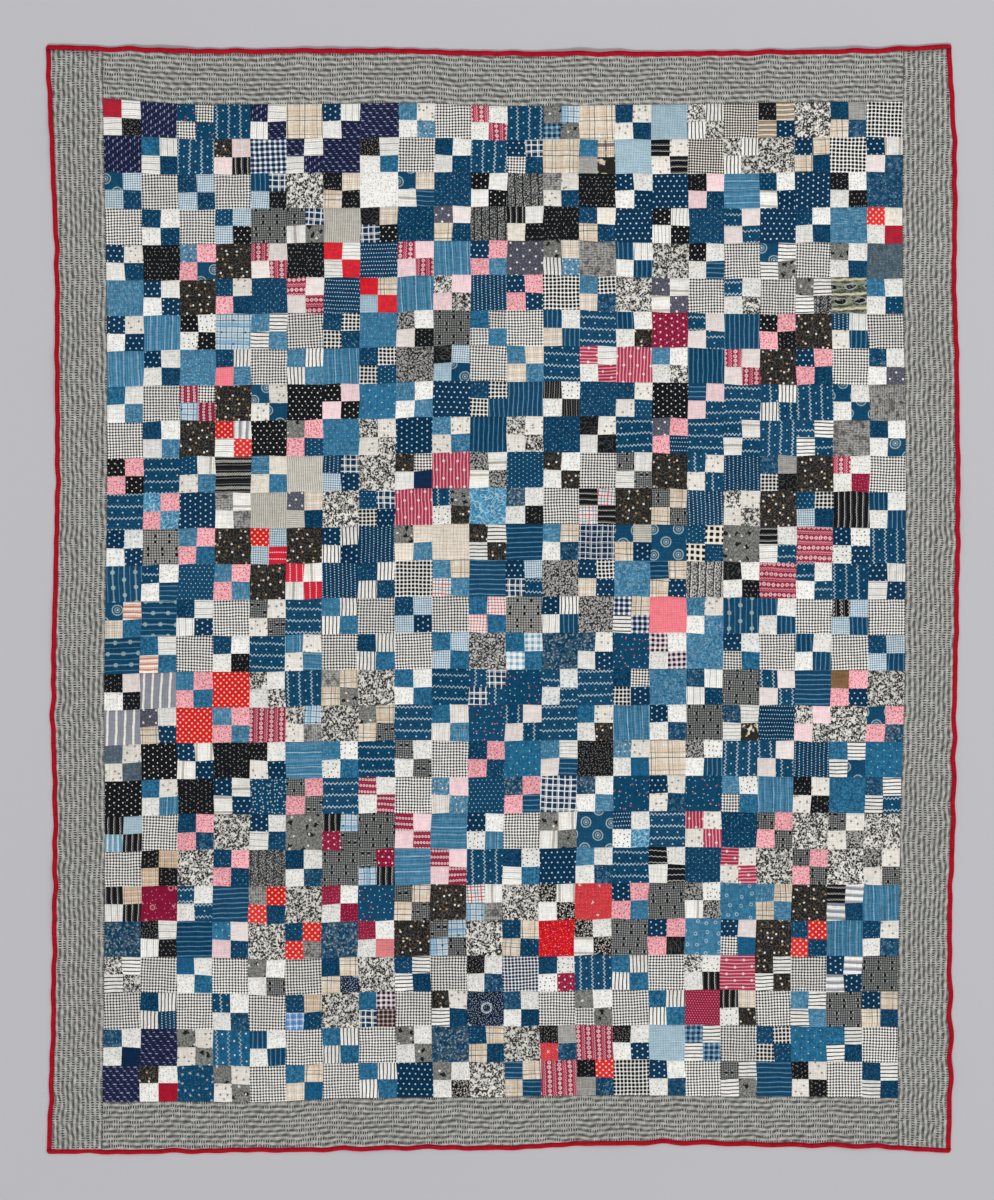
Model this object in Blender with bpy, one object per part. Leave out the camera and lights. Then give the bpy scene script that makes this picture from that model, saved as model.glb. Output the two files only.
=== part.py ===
"""A patchwork quilt, lying flat with its face up and its top edge towards +Y.

The middle is a double four-patch: plain three-inch squares take turns with four-patches of smaller
squares, 22 across and 28 down. A border of four print strips goes round it, the side strips running
the full height, and four strips of a narrow binding close the edges. Each strip is a piece of its
own. Metres, +Z up, with the origin in the middle of the underside.
"""

import math
import random

import bmesh
import bpy
from mathutils import Vector

# Driving dimensions, in metres.
COLUMNS = 22                  # squares across the middle
ROWS = 28                     # squares down the middle
SEAM_THICKNESS = 0.0032       # of the quilt where a seam holds its layers down
SQUARE_PUFF = 0.0020          # rise of a plain square above its seams
PATCH_PUFF = 0.0014           # rise of a small patch in a four-patch
BORDER_PUFF = 0.0014          # rise of a border strip between its two seams
BINDING_WIDTH = 0.0100
BINDING_THICKNESS = 0.0056
RIPPLE_LIFT = 0.0050          # how far the outer edge stands off the surface at the top of a ripple
SEAM_WANDER = 0.0016          # how far a hand-sewn crossing is off its place
WANDER_SEED = 28              # which set of small errors the hand made
GAP = 0.0003                  # between pieces that are sewn edge to edge

# The drift of whole rows and columns of seams, from cloth that was eased in while sewing, as shares
# of the middle's width and height.
COLUMN_DRIFT = 0.0060         # middle columns lie this far to the right
ROW_DRIFT_MIDDLE = 0.0062     # rows climb this far half-way across
ROW_DRIFT_LEFT = -0.0033      # and sink this far at the left edge
DRIFT_SPREAD = 0.17           # how far to each side such a stretch reaches

# No edge is quite straight. Each row holds an edge's start and end corner (x, y) in metres, and how
# far it lies outwards of the line between them, in millimetres, at each tenth of its length.
OUTLINE = {
    "top": ((-0.965, 1.169), (0.946, 1.171), (0, -5, -9, -8, -9, -14, -15, -15, -12, -10, 0)),
    "bottom": ((-0.963, -1.171), (0.945, -1.169), (0, 0, -2, -4, -8, -7, -16, -18, -13, -11, 0)),
    "left": ((-0.965, 1.169), (-0.963, -1.171), (0, -9, -18, -19, -19, -14, -9, -14, -12, -8, 0)),
    "right": ((0.946, 1.171), (0.945, -1.169), (0, 12, 11, 17, 19, 17, 12, 9, 2, 4, 0)),
}
MIDDLE = {
    "top": ((-0.844, 1.056), (0.844, 1.050), (0, -11, -11, -9, -7, -13, -11, -8, -5, -2, 0)),
    "bottom": ((-0.845, -1.061), (0.833, -1.053), (0, 0, 2, -5, -6, -6, -9, -8, -5, -4, 0)),
    "left": ((-0.844, 1.056), (-0.845, -1.061), (0, -4, -8, -9, -9, -6, -3, -5, -4, -3, 0)),
    "right": ((0.844, 1.050), (0.833, -1.053), (0, 0, 2, 8, 10, 10, 9, 3, 1, -1, 0)),
}
OUTWARDS = {
    "top": Vector((0, 1)),
    "bottom": Vector((0, -1)),
    "left": Vector((-1, 0)),
    "right": Vector((1, 0)),
}

# The binding's section: how far across it from its inner edge, and how high, as shares of its size.
BINDING_SECTION = (
    (0.0, 0.0),
    (0.82, 0.0),
    (1.0, 0.30),
    (1.0, 0.62),
    (0.72, 0.95),
    (0.34, 1.0),
    (0.0, 0.74),
)

# A border strip's section: how far across it from its seam, and the share of its puff.
BORDER_SECTION = ((0.0, 0.0), (0.34, 1.0), (0.67, 1.0), (1.0, 0.1))

# Ripples along the edges: the middle of each as a share of the side's length, its half-width in
# metres, and its height as a share of RIPPLE_LIFT.
RIPPLES = {
    "top": ((0.13, 0.10, 0.8), (0.31, 0.12, 0.5), (0.60, 0.13, 1.0), (0.88, 0.12, 0.7)),
    "bottom": ((0.10, 0.10, 0.5), (0.36, 0.12, 0.8), (0.63, 0.12, 1.0), (0.90, 0.10, 0.9)),
    "left": ((0.08, 0.12, 0.6), (0.30, 0.15, 1.0), (0.52, 0.12, 0.5), (0.76, 0.15, 0.9)),
    "right": ((0.15, 0.14, 0.8), (0.42, 0.15, 1.0), (0.66, 0.12, 0.6), (0.93, 0.12, 0.9)),
}

COLOURS = {
    "patchwork": (0.20, 0.27, 0.36, 1.0),
    "border": (0.27, 0.27, 0.25, 1.0),
    "binding": (0.45, 0.012, 0.022, 1.0),
}
COTTON_ROUGHNESS = 0.92


def smooth_between(values, share):
    """The value at share, from 0 to 1, on a Catmull-Rom curve through evenly spaced values."""
    place = min(max(share, 0.0), 1.0) * (len(values) - 1)
    first = min(int(place), len(values) - 2)
    step = place - first
    near = [values[min(max(first + k, 0), len(values) - 1)] for k in (-1, 0, 1, 2)]
    bend = 2 * near[0] - 5 * near[1] + 4 * near[2] - near[3]
    twist = 3 * near[1] - near[0] - 3 * near[2] + near[3]
    return near[1] + 0.5 * step * (near[2] - near[0] + step * (bend + step * twist))


def on_edge(edges, side, share):
    """The point of an edge at this share of its length."""
    start, end, bows = edges[side]
    straight = Vector(start).lerp(Vector(end), share)
    return straight + OUTWARDS[side] * smooth_between(bows, share) / 1000


def share_along(edges, side, place):
    """Where on an edge a point with this x, on the top and bottom, or this y, on the sides, lies."""
    start, end, _ = edges[side]
    axis = 0 if side in ("top", "bottom") else 1
    return (place - start[axis]) / (end[axis] - start[axis])


def edge_beside(side, point, inset):
    """The outline's point straight outwards of a point, moved back inwards by inset."""
    axis = 0 if side in ("top", "bottom") else 1
    met = on_edge(OUTLINE, side, share_along(OUTLINE, side, point[axis])) - OUTWARDS[side] * inset
    met[axis] = point[axis]
    return met


def ripple_lift(side, share, across):
    """Height of the underside on a ripple; across is 0 at the border's seam and 1 at the outer edge."""
    start, end, _ = OUTLINE[side]
    length = (Vector(end) - Vector(start)).length
    lift = 0.0
    for middle, half_width, height in RIPPLES[side]:
        away = abs(share - middle) * length / half_width
        if away < 1:
            lift = max(lift, height * math.cos(away * math.pi / 2) ** 2)
    return RIPPLE_LIFT * lift * across ** 2


def seam_crossings():
    """The points where seams of the middle cross, by half-square: [column][row], counted from top left."""
    chance = random.Random(WANDER_SEED)
    points = []
    for i in range(2 * COLUMNS + 1):
        column = []
        for j in range(2 * ROWS + 1):
            across = i / (2 * COLUMNS)
            down = j / (2 * ROWS)
            bell = math.exp(-(((across - 0.5) / DRIFT_SPREAD) ** 2))
            left_bell = math.exp(-((across / DRIFT_SPREAD) ** 2))
            climb = (ROW_DRIFT_MIDDLE * bell + ROW_DRIFT_LEFT * left_bell) * math.sin(math.pi * down)
            across += COLUMN_DRIFT * math.sin(math.pi * across)
            point = middle_point(across, down - climb)
            wander = Vector((chance.uniform(-1, 1), chance.uniform(-1, 1))) * SEAM_WANDER
            if 0 < i < 2 * COLUMNS and 0 < j < 2 * ROWS:
                point += wander
            column.append(point)
        points.append(column)
    return points


def middle_point(across, down):
    """A point of the middle from its shares of the way across and down, between its four edges."""
    top = on_edge(MIDDLE, "top", across)
    bottom = on_edge(MIDDLE, "bottom", across)
    left = on_edge(MIDDLE, "left", down)
    right = on_edge(MIDDLE, "right", down)
    corners = [Vector(MIDDLE[side][end]) for side in ("top", "bottom") for end in (0, 1)]
    upper = corners[0].lerp(corners[1], across)
    lower = corners[2].lerp(corners[3], across)
    return top.lerp(bottom, down) + left.lerp(right, across) - upper.lerp(lower, down)


def cotton(name):
    material = bpy.data.materials.new(name)
    material.use_nodes = True
    shader = material.node_tree.nodes["Principled BSDF"]
    shader.inputs["Base Color"].default_value = COLOURS[name]
    shader.inputs["Roughness"].default_value = COTTON_ROUGHNESS
    shader.inputs["Metallic"].default_value = 0.0
    return material


def add_piece(name, material, shape):
    """A named object from a closed bmesh, its faces turned outwards."""
    bmesh.ops.recalc_face_normals(shape, faces=shape.faces)
    mesh = bpy.data.meshes.new(name)
    shape.to_mesh(mesh)
    shape.free()
    mesh.materials.append(material)
    piece = bpy.data.objects.new(name, mesh)
    bpy.context.scene.collection.objects.link(piece)
    return piece


def make_patchwork(crossings, material):
    """The pieced middle: flat below, with every patch raised to a low crown between its seams."""
    shape = bmesh.new()
    last_column = 2 * COLUMNS
    last_row = 2 * ROWS
    seams = {}

    def seam(i, j):
        if (i, j) not in seams:
            seams[i, j] = shape.verts.new((*crossings[i][j], SEAM_THICKNESS))
        return seams[i, j]

    def crown(rim, rise):
        middle = sum((point.co for point in rim), Vector()) / len(rim)
        top = shape.verts.new(middle + Vector((0, 0, rise)))
        for k, point in enumerate(rim):
            shape.faces.new((point, rim[(k + 1) % len(rim)], top))

    for column in range(COLUMNS):
        for row in range(ROWS):
            i = 2 * column
            j = 2 * row
            if (row + column) % 2:
                ring = ((0, 0), (0, 1), (0, 2), (1, 2), (2, 2), (2, 1), (2, 0), (1, 0))
                crown([seam(i + a, j + b) for a, b in ring], SQUARE_PUFF)
                continue
            for a, b in ((0, 0), (1, 0), (0, 1), (1, 1)):
                corners = ((0, 0), (0, 1), (1, 1), (1, 0))
                crown([seam(i + a + c, j + b + d) for c, d in corners], PATCH_PUFF)

    rim = [(i, 0) for i in range(last_column)]
    rim += [(last_column, j) for j in range(last_row)]
    rim += [(i, last_row) for i in range(last_column, 0, -1)]
    rim += [(0, j) for j in range(last_row, 0, -1)]
    upper = [seam(i, j) for i, j in rim]
    lower = [shape.verts.new((*crossings[i][j], 0)) for i, j in rim]
    for k, point in enumerate(upper):
        after = (k + 1) % len(rim)
        shape.faces.new((point, upper[after], lower[after], lower[k]))
    shape.faces.new(lower)
    return add_piece("patchwork", material, shape)


def loft(rings):
    """A closed solid through rings of points with equal counts, with flat ends."""
    shape = bmesh.new()
    rows = [[shape.verts.new(point) for point in ring] for ring in rings]
    count = len(rows[0])
    for row, following in zip(rows, rows[1:]):
        for k in range(count):
            after = (k + 1) % count
            shape.faces.new((row[k], row[after], following[after], following[k]))
    shape.faces.new(rows[0])
    shape.faces.new(rows[-1])
    return shape


def side_lines(side, crossings):
    """The seam's points along one side of the middle, in order, as the border strip meets them."""
    if side == "top":
        return [column[0] for column in crossings]
    if side == "bottom":
        return [column[-1] for column in crossings]
    if side == "left":
        return list(crossings[0])
    return list(crossings[-1])


def strip_lines(side, crossings):
    """The border strip's seam line and outer line, with as many points each."""
    seam = [point + OUTWARDS[side] * GAP for point in side_lines(side, crossings)]
    if side in ("top", "bottom"):
        # The strip ends on the side strips' seams, which run straight on past the middle's corners.
        seam[0].x = side_lines(side, crossings)[0].x
        seam[-1].x = side_lines(side, crossings)[-1].x
        outer = [edge_beside(side, point, BINDING_WIDTH + GAP) for point in seam]
        return seam, outer
    outer = [edge_beside(side, point, BINDING_WIDTH + GAP) for point in seam]
    # The strip runs on to the bindings at the top and the bottom.
    for line in (seam, outer):
        line.insert(0, edge_beside("top", line[0], BINDING_WIDTH + GAP))
        line.append(edge_beside("bottom", line[-1], BINDING_WIDTH + GAP))
    for end in (0, -1):
        outer[end] = edge_beside(side, outer[end], BINDING_WIDTH + GAP)
    return seam, outer


def make_border(side, crossings, material):
    """One strip of the border, with a low crown across it and the ripples of its outer edge."""
    seam, outer = strip_lines(side, crossings)
    axis = 0 if side in ("top", "bottom") else 1
    rings = []
    for near, far in zip(seam, outer):
        below = []
        above = []
        for across, puff in BORDER_SECTION:
            place = near.lerp(far, across)
            lift = ripple_lift(side, share_along(OUTLINE, side, place[axis]), across)
            below.append((*place, lift))
            above.append((*place, lift + SEAM_THICKNESS + BORDER_PUFF * puff))
        rings.append(below + above[::-1])
    return add_piece(f"border_{side}", material, loft(rings))


def make_binding(side, crossings, material):
    """One rounded strip of the binding, along the edge of the quilt."""
    axis = 0 if side in ("top", "bottom") else 1
    inner = [edge_beside(side, point, BINDING_WIDTH) for point in strip_lines(side, crossings)[1]]
    if axis == 0:
        # The upper and lower strips run past the border's and the side bindings' ends to the corners.
        for inset in (BINDING_WIDTH, 0):
            inner.insert(0, edge_beside(side, edge_beside("left", inner[0], inset), BINDING_WIDTH))
            inner.append(edge_beside(side, edge_beside("right", inner[-1], inset), BINDING_WIDTH))
    rings = []
    for point in inner:
        rim = point + OUTWARDS[side] * BINDING_WIDTH
        lift = ripple_lift(side, share_along(OUTLINE, side, point[axis]), 1.0)
        ring = []
        for across, height in BINDING_SECTION:
            ring.append((*point.lerp(rim, across), lift + height * BINDING_THICKNESS))
        rings.append(ring)
    return add_piece(f"binding_{side}", material, loft(rings))


def clear_scene():
    for thing in list(bpy.data.objects):
        bpy.data.objects.remove(thing, do_unlink=True)


def main():
    clear_scene()
    materials = {name: cotton(name) for name in COLOURS}
    crossings = seam_crossings()
    make_patchwork(crossings, materials["patchwork"])
    for side in OUTLINE:
        make_border(side, crossings, materials["border"])
        make_binding(side, crossings, materials["binding"])


main()
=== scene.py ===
"""The looks of a four-patch scrap quilt, lying flat and seen from above.

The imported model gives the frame. Over its solids this script lays the same cloth in finer form: the
pieced middle in strips of four rows, the four border strips and the four strips of binding. Each cotton
is a material of its own, whose print is drawn by nodes from the place on the cut cloth, in millimetres.
Lengths are in metres unless a name or a comment says otherwise.
"""

import math
import random

import bpy
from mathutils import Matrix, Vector, noise


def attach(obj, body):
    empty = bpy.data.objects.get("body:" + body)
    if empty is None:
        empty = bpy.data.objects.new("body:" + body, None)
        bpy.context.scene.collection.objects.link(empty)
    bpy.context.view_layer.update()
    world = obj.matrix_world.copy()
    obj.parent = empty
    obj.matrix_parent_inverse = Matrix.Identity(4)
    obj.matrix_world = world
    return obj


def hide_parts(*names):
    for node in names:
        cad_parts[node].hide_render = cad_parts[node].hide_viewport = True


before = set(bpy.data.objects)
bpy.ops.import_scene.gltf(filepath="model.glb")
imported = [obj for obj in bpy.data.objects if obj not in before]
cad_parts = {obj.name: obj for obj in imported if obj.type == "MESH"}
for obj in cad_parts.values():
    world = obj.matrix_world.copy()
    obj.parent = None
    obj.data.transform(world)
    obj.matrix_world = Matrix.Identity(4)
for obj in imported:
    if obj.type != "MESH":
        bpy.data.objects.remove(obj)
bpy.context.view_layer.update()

MILLIMETRES = 1000            # in a metre

# ---- Sizes shared with the solids ----
COLUMNS = 22                  # squares across the middle
ROWS = 28                     # squares down the middle
SEAM_THICKNESS = 0.0032       # of the quilt where a seam holds its layers down
SQUARE_PUFF = 0.0020          # rise of a plain square above its seams
PATCH_PUFF = 0.0014           # rise of a small patch in a four-patch
BORDER_PUFF = 0.0014          # rise of a border strip between its two seams
BINDING_WIDTH = 0.0100
BINDING_THICKNESS = 0.0056
RIPPLE_LIFT = 0.0050          # how far the outer edge stands off the floor at the top of a ripple
SEAM_WANDER = 0.0016          # how far a hand-sewn crossing is off its place
WANDER_SEED = 28
GAP = 0.0003                  # between pieces that are sewn edge to edge

COLUMN_DRIFT = 0.0060         # middle columns lie this far to the right
ROW_DRIFT_MIDDLE = 0.0062     # rows climb this far half-way across
ROW_DRIFT_LEFT = -0.0033      # and sink this far at the left edge
DRIFT_SPREAD = 0.17           # how far to each side such a stretch reaches

# How far the seams' crossings lie to the right of and above that even grid, in millimetres, as read from
# the photograph: at every fourth crossing across and at every eighth down from the top.
SEAMS_RIGHT = (
    (0, 0, -2, -6, 1, -1, -1, -3, -2, -4, -3, 0),
    (0, 0, -4, -6, -5, -4, -4, -3, 0, 0, -1, 0),
    (0, -3, -8, -11, -12, -9, -7, -6, -6, -5, -2, 0),
    (0, -4, -8, -12, -14, -11, -10, -9, -9, -7, -3, 0),
    (0, -6, -7, -11, -11, -8, -8, -11, -8, -5, -5, 0),
    (0, -2, -5, -6, -8, -8, -8, -5, -4, -3, -2, 0),
    (0, -3, -7, -6, -7, -8, -8, -6, -2, -2, -3, 0),
    (0, 2, 1, -1, 2, 2, 0, 2, 2, 2, 0, 0),
)
SEAMS_UP = (
    (0, 0, 0, 0, 0, 0, 0, 0, 0, 0, 0, 0),
    (-2, 5, 9, 7, 4, 8, 10, 7, 4, 3, 4, 1),
    (1, 11, 11, 8, 4, 7, 7, 8, 7, 4, 4, 3),
    (3, 11, 10, 5, 1, 2, 2, 5, 6, 5, 2, 1),
    (1, 9, 8, 4, -2, -5, -6, -3, 1, 2, 0, 0),
    (2, 8, 8, 1, -4, -9, -7, -4, 2, 1, -1, 0),
    (6, 7, 2, -4, -4, -5, -8, -5, -1, -1, -4, -1),
    (0, 0, 0, 0, 0, 0, 0, 0, 0, 0, 0, 0),
)
MIDDLE_WIDTH, MIDDLE_HEIGHT = 1.69, 2.11      # of the middle, all its squares together
EDGE_WAVER = 0.004            # how far the bound edge wavers to either side of its line
WAVER_LENGTH = 0.045
WAVER_FADE = 0.08             # distance from a corner over which the waver grows to its full size
WAVER_ROWS = 7.0              # how far apart in the noise the four sides' wavers are read
WAVER_DEPTH = 3.0             # and how deep in it

# Each row holds an edge's start and end corner (x, y) in metres, and how far it lies outwards of the
# line between them, in millimetres, at each tenth of its length.
OUTLINE = {
    "top": ((-0.965, 1.169), (0.946, 1.171), (0, -5, -9, -8, -9, -14, -15, -15, -12, -10, 0)),
    "bottom": ((-0.963, -1.171), (0.945, -1.169), (0, 0, -2, -4, -8, -7, -16, -18, -13, -11, 0)),
    "left": ((-0.965, 1.169), (-0.963, -1.171), (0, -9, -18, -19, -19, -14, -9, -14, -12, -8, 0)),
    "right": ((0.946, 1.171), (0.945, -1.169), (0, 12, 11, 17, 19, 17, 12, 9, 2, 4, 0)),
}
MIDDLE = {
    "top": ((-0.844, 1.056), (0.844, 1.050), (0, -11, -11, -9, -7, -13, -11, -8, -5, -2, 0)),
    "bottom": ((-0.845, -1.061), (0.833, -1.053), (0, 0, 2, -5, -6, -6, -9, -8, -5, -4, 0)),
    "left": ((-0.844, 1.056), (-0.845, -1.061), (0, -4, -8, -9, -9, -6, -3, -5, -4, -3, 0)),
    "right": ((0.844, 1.050), (0.833, -1.053), (0, 0, 2, 8, 10, 10, 9, 3, 1, -1, 0)),
}
OUTWARDS = {
    "top": Vector((0, 1)),
    "bottom": Vector((0, -1)),
    "left": Vector((-1, 0)),
    "right": Vector((1, 0)),
}
# Ripples along the edges: the middle of each as a share of the side's length, its half-width in
# metres, and its height as a share of RIPPLE_LIFT.
RIPPLES = {
    "top": ((0.13, 0.10, 0.8), (0.31, 0.12, 0.5), (0.60, 0.13, 1.0), (0.88, 0.12, 0.7)),
    "bottom": ((0.10, 0.10, 0.5), (0.36, 0.12, 0.8), (0.63, 0.12, 1.0), (0.90, 0.10, 0.9)),
    "left": ((0.08, 0.12, 0.6), (0.30, 0.15, 1.0), (0.52, 0.12, 0.5), (0.76, 0.15, 0.9)),
    "right": ((0.15, 0.14, 0.8), (0.42, 0.15, 1.0), (0.66, 0.12, 0.6), (0.93, 0.12, 0.9)),
}

# ---- Sizes of the fine form ----
ROWS_IN_STRIP = 4             # rows of squares that are sewn into one strip
STATIONS = (0.0, 0.035, 0.11, 0.27, 0.5, 0.73, 0.89, 0.965)   # mesh lines across a half-square
MESH_LINES = 2 * COLUMNS * len(STATIONS)         # mesh stretches across the whole middle
SQUARE_SIDE = 0.0767          # of a plain square between its seams
SEAM_SLOPE = 0.0042           # distance from a seam over which the cloth rises to its full puff
PUFF_SPREAD = (0.7, 1.2)      # the least and the most puff of a patch, as shares of the usual
PRESSED_RIDGE = 0.00035       # the seam allowance, pressed to one side, under the cloth
PRESSED_WIDTH = 0.0060
PRESSED_FALL = 6              # how steeply that ridge falls off to both sides
PRESSED_GROWTH = 4            # how many times faster than the puff it grows from the seams
PUCKER = 0.00040              # unevenness of the cloth between its seams
PUCKER_LENGTH = 0.022
PUCKER_GROWTH = 1.5           # how many times faster than the puff it grows from the seams
FINE_PUCKER = 2.6             # how many times finer its second part is
FINE_PUCKER_SHARE = 0.5
FINE_PUCKER_START = Vector((7, 3, 1))
CUT_TILT = math.radians(2.6)  # how far off the grain a patch may be cut
CUT_REACH = 0.4               # how far from its middle a cloth is cut up
CHANCE_SEED = 1880

BORDER_STEPS = 8              # mesh lines in each half-square's length of border and binding
BORDER_LINES = 22             # mesh stretches across a border strip
BINDING_HOLD = 0.002          # how far beyond a border's outer edge its puff would end
GATHER = 0.45                 # how much the gathers along a border's seam change its puff
# The coarse and the fine gathers: their length along the seam in metres, how often they change across
# the strip, how deep in the noise they are read, and their share.
GATHERS = ((0.024, 1.3, 4.0, 1.0), (0.011, 2.6, 9.0, 0.6))
BINDING_SIDES = 16
SECTION_START = 2.6           # radians from the binding's outermost line to its section's first point
SECTION_ROUNDNESS = (0.85, 0.95)      # across and upwards: 1 is an ellipse, and less is squarer
CORNER_ROUND = 0.0065         # radius of the quilt's corners, where the binding turns
SWELL = 0.05                  # how much the binding's thickness changes along it
SWELL_LENGTH = 0.03
SWELL_START = (2.0, 5.0)      # where in the noise it is read

# ---- The pieces' two maps ----
CUT_MAP = "Cut"               # the UV map that holds the place on the cut cloth, in metres
BAKE_MAP = "OFBake"           # the UV map that lays each piece out once, with no overlap
BAKE_MARGIN = 0.01            # left free at both ends of that map's width
UNDER_BAND = (0.075, 0.165)   # the parts of its height that hold a piece's underside
WALL_BAND = (0.02, 0.05)      # and its rim
HALF_BANDS = ((0.60, 0.98), (0.19, 0.57))        # the left and right halves of a patchwork strip
FOLD_BANDS = ((0.80, 0.98), (0.60, 0.78), (0.40, 0.58), (0.20, 0.38))   # quarters of a long strip
END_MIDDLES = ((0.25, 0.1), (0.75, 0.1))         # of the two ends of a binding strip
END_RADIUS = 0.05

# ---- Studio ----
LENS = 85                     # millimetres
SENSOR = 36                   # millimetres, along the picture's long side
FRAME_HEIGHT = 2.532          # metres of the floor that the picture's long side shows
FRAME_MIDDLE = (-0.0127, -0.0021)
FARTHEST_SEEN = 100           # metres from the camera
FLOOR_SIDE = 16
FLOOR_CLEARANCE = 0.0004
FLOOR_TONES = ((0.51, 0.51, 0.53, 1), (0.55, 0.55, 0.57, 1))
FLOOR_GRAIN = 1.4             # how fine the change between its two tones is
FLOOR_SURFACE = {"Roughness": 0.9, "Specular IOR Level": 0.2}
SKY_COLOUR = (0.98, 0.98, 1.0, 1)
SKY_STRENGTH = 0.45
KEY_LIGHT = ((-0.6, -4.0, 4.0), 1.75, 9)         # place, strength, degrees across
FILL_LIGHT = ((2.6, 1.6, 5.0), 3.0, 60)          # place, size in metres, power in watts

# ---- Dyes, in the usual hexadecimal notation ----
DYES = {
    "white": "ebeae4", "milk": "e5e1d7", "cream": "d6d0c3", "straw": "d9d2ae", "sand": "dacdb9",
    "tan": "c9a67c", "umber": "5c4531", "brown": "7d5f42", "bark": "2a211b",
    "maroon": "5d3436", "soot": "26231f", "black": "141619", "coal": "0e0f11", "iron": "3c3e3f",
    "lead": "4b5050", "grey": "73746f", "drab_grey": "84827b", "ash": "a09f9b", "pearl": "bdbcb8",
    "pearl_drab": "bbb8ad", "fog": "958f86", "taupe": "ada89d", "plum_grey": "535461",
    "lilac_grey": "8b8d97", "slate": "4f6070", "navy": "1a1f3d", "mist": "8f97b4", "ink": "0d2747",
    "denim": "2d5680", "deep_indigo": "083350", "indigo": "0f4564", "pale_indigo": "7297ad",
    "pine": "235a58", "sage": "a3b4ae", "blue": "447c9a", "cadet": "5a8ca3", "teal": "1f658a",
    "sky": "4f98ba", "ice": "93b0be", "frost": "cdd9db", "periwinkle": "5f8fc4", "red": "c81f36",
    "scarlet": "de2b26", "coral_red": "ce3b42", "crimson": "8f1c3d", "wine": "6d1230",
    "blood": "ab0b1f", "rose": "efa9b1", "raspberry": "d3405c", "pink": "f0d0d3", "blush": "e4dcd6",
    "coral": "f0747e", "salmon": "c56f72", "orange": "cf7440", "gold": "b8966a", "olive": "8b9076",
    "ecru": "ede6d7", "petrol": "175a80", "garnet": "aa1a2e", "cerise": "a32646",
    "leaf": "3a4626", "stone": "807f7a", "chalk": "bcbcb5", "smoke": "484845",
}

# ---- Cottons as materials ----
SOFT_EDGE = 0.35              # millimetres over which a printed edge fades out
NOISE_GAIN = 4                # the noise seldom leaves 0.25 to 0.75, and this takes it to -1 to 1
NOISE_SHIFT = (17.3, 9.1, 3.7)        # how far apart the seeds' noises are read
CELL_SHIFT = 31.7             # and the seeds' strewn points, as a share of their pitch
THREAD = 0.45                 # millimetres between the threads of the weave
WEAVE_HEIGHT = 0.10           # of the threads, as a share of RELIEF_DEPTH
CREASE_HEIGHT = 3.0           # of small creases, in the same way
CREASE_SIZE = 6               # millimetres
RELIEF_DEPTH = 0.00035        # metres
SLUB_SIZE = 7                 # millimetres of the noise that makes the threads uneven
SLUB_LONG, SLUB_NARROW = 0.35, 3.4    # how it is drawn out along them and squeezed across them
FADING = 0.10                 # how much lighter or darker the most faded patch is
FADE_GREYING = 0.2            # how much a faded cloth also greys
SURFACE = {"Specular IOR Level": 0.06, "Sheen Weight": 0.02, "Sheen Roughness": 0.6}


def dye(name):
    """A dye as the linear colour that a shader takes."""
    shares = [int(DYES[name][k:k + 2], 16) / 255 for k in (0, 2, 4)]
    linear = [((s + 0.055) / 1.055) ** 2.4 if s > 0.04045 else s / 12.92 for s in shares]
    return (*linear, 1.0)


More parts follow.
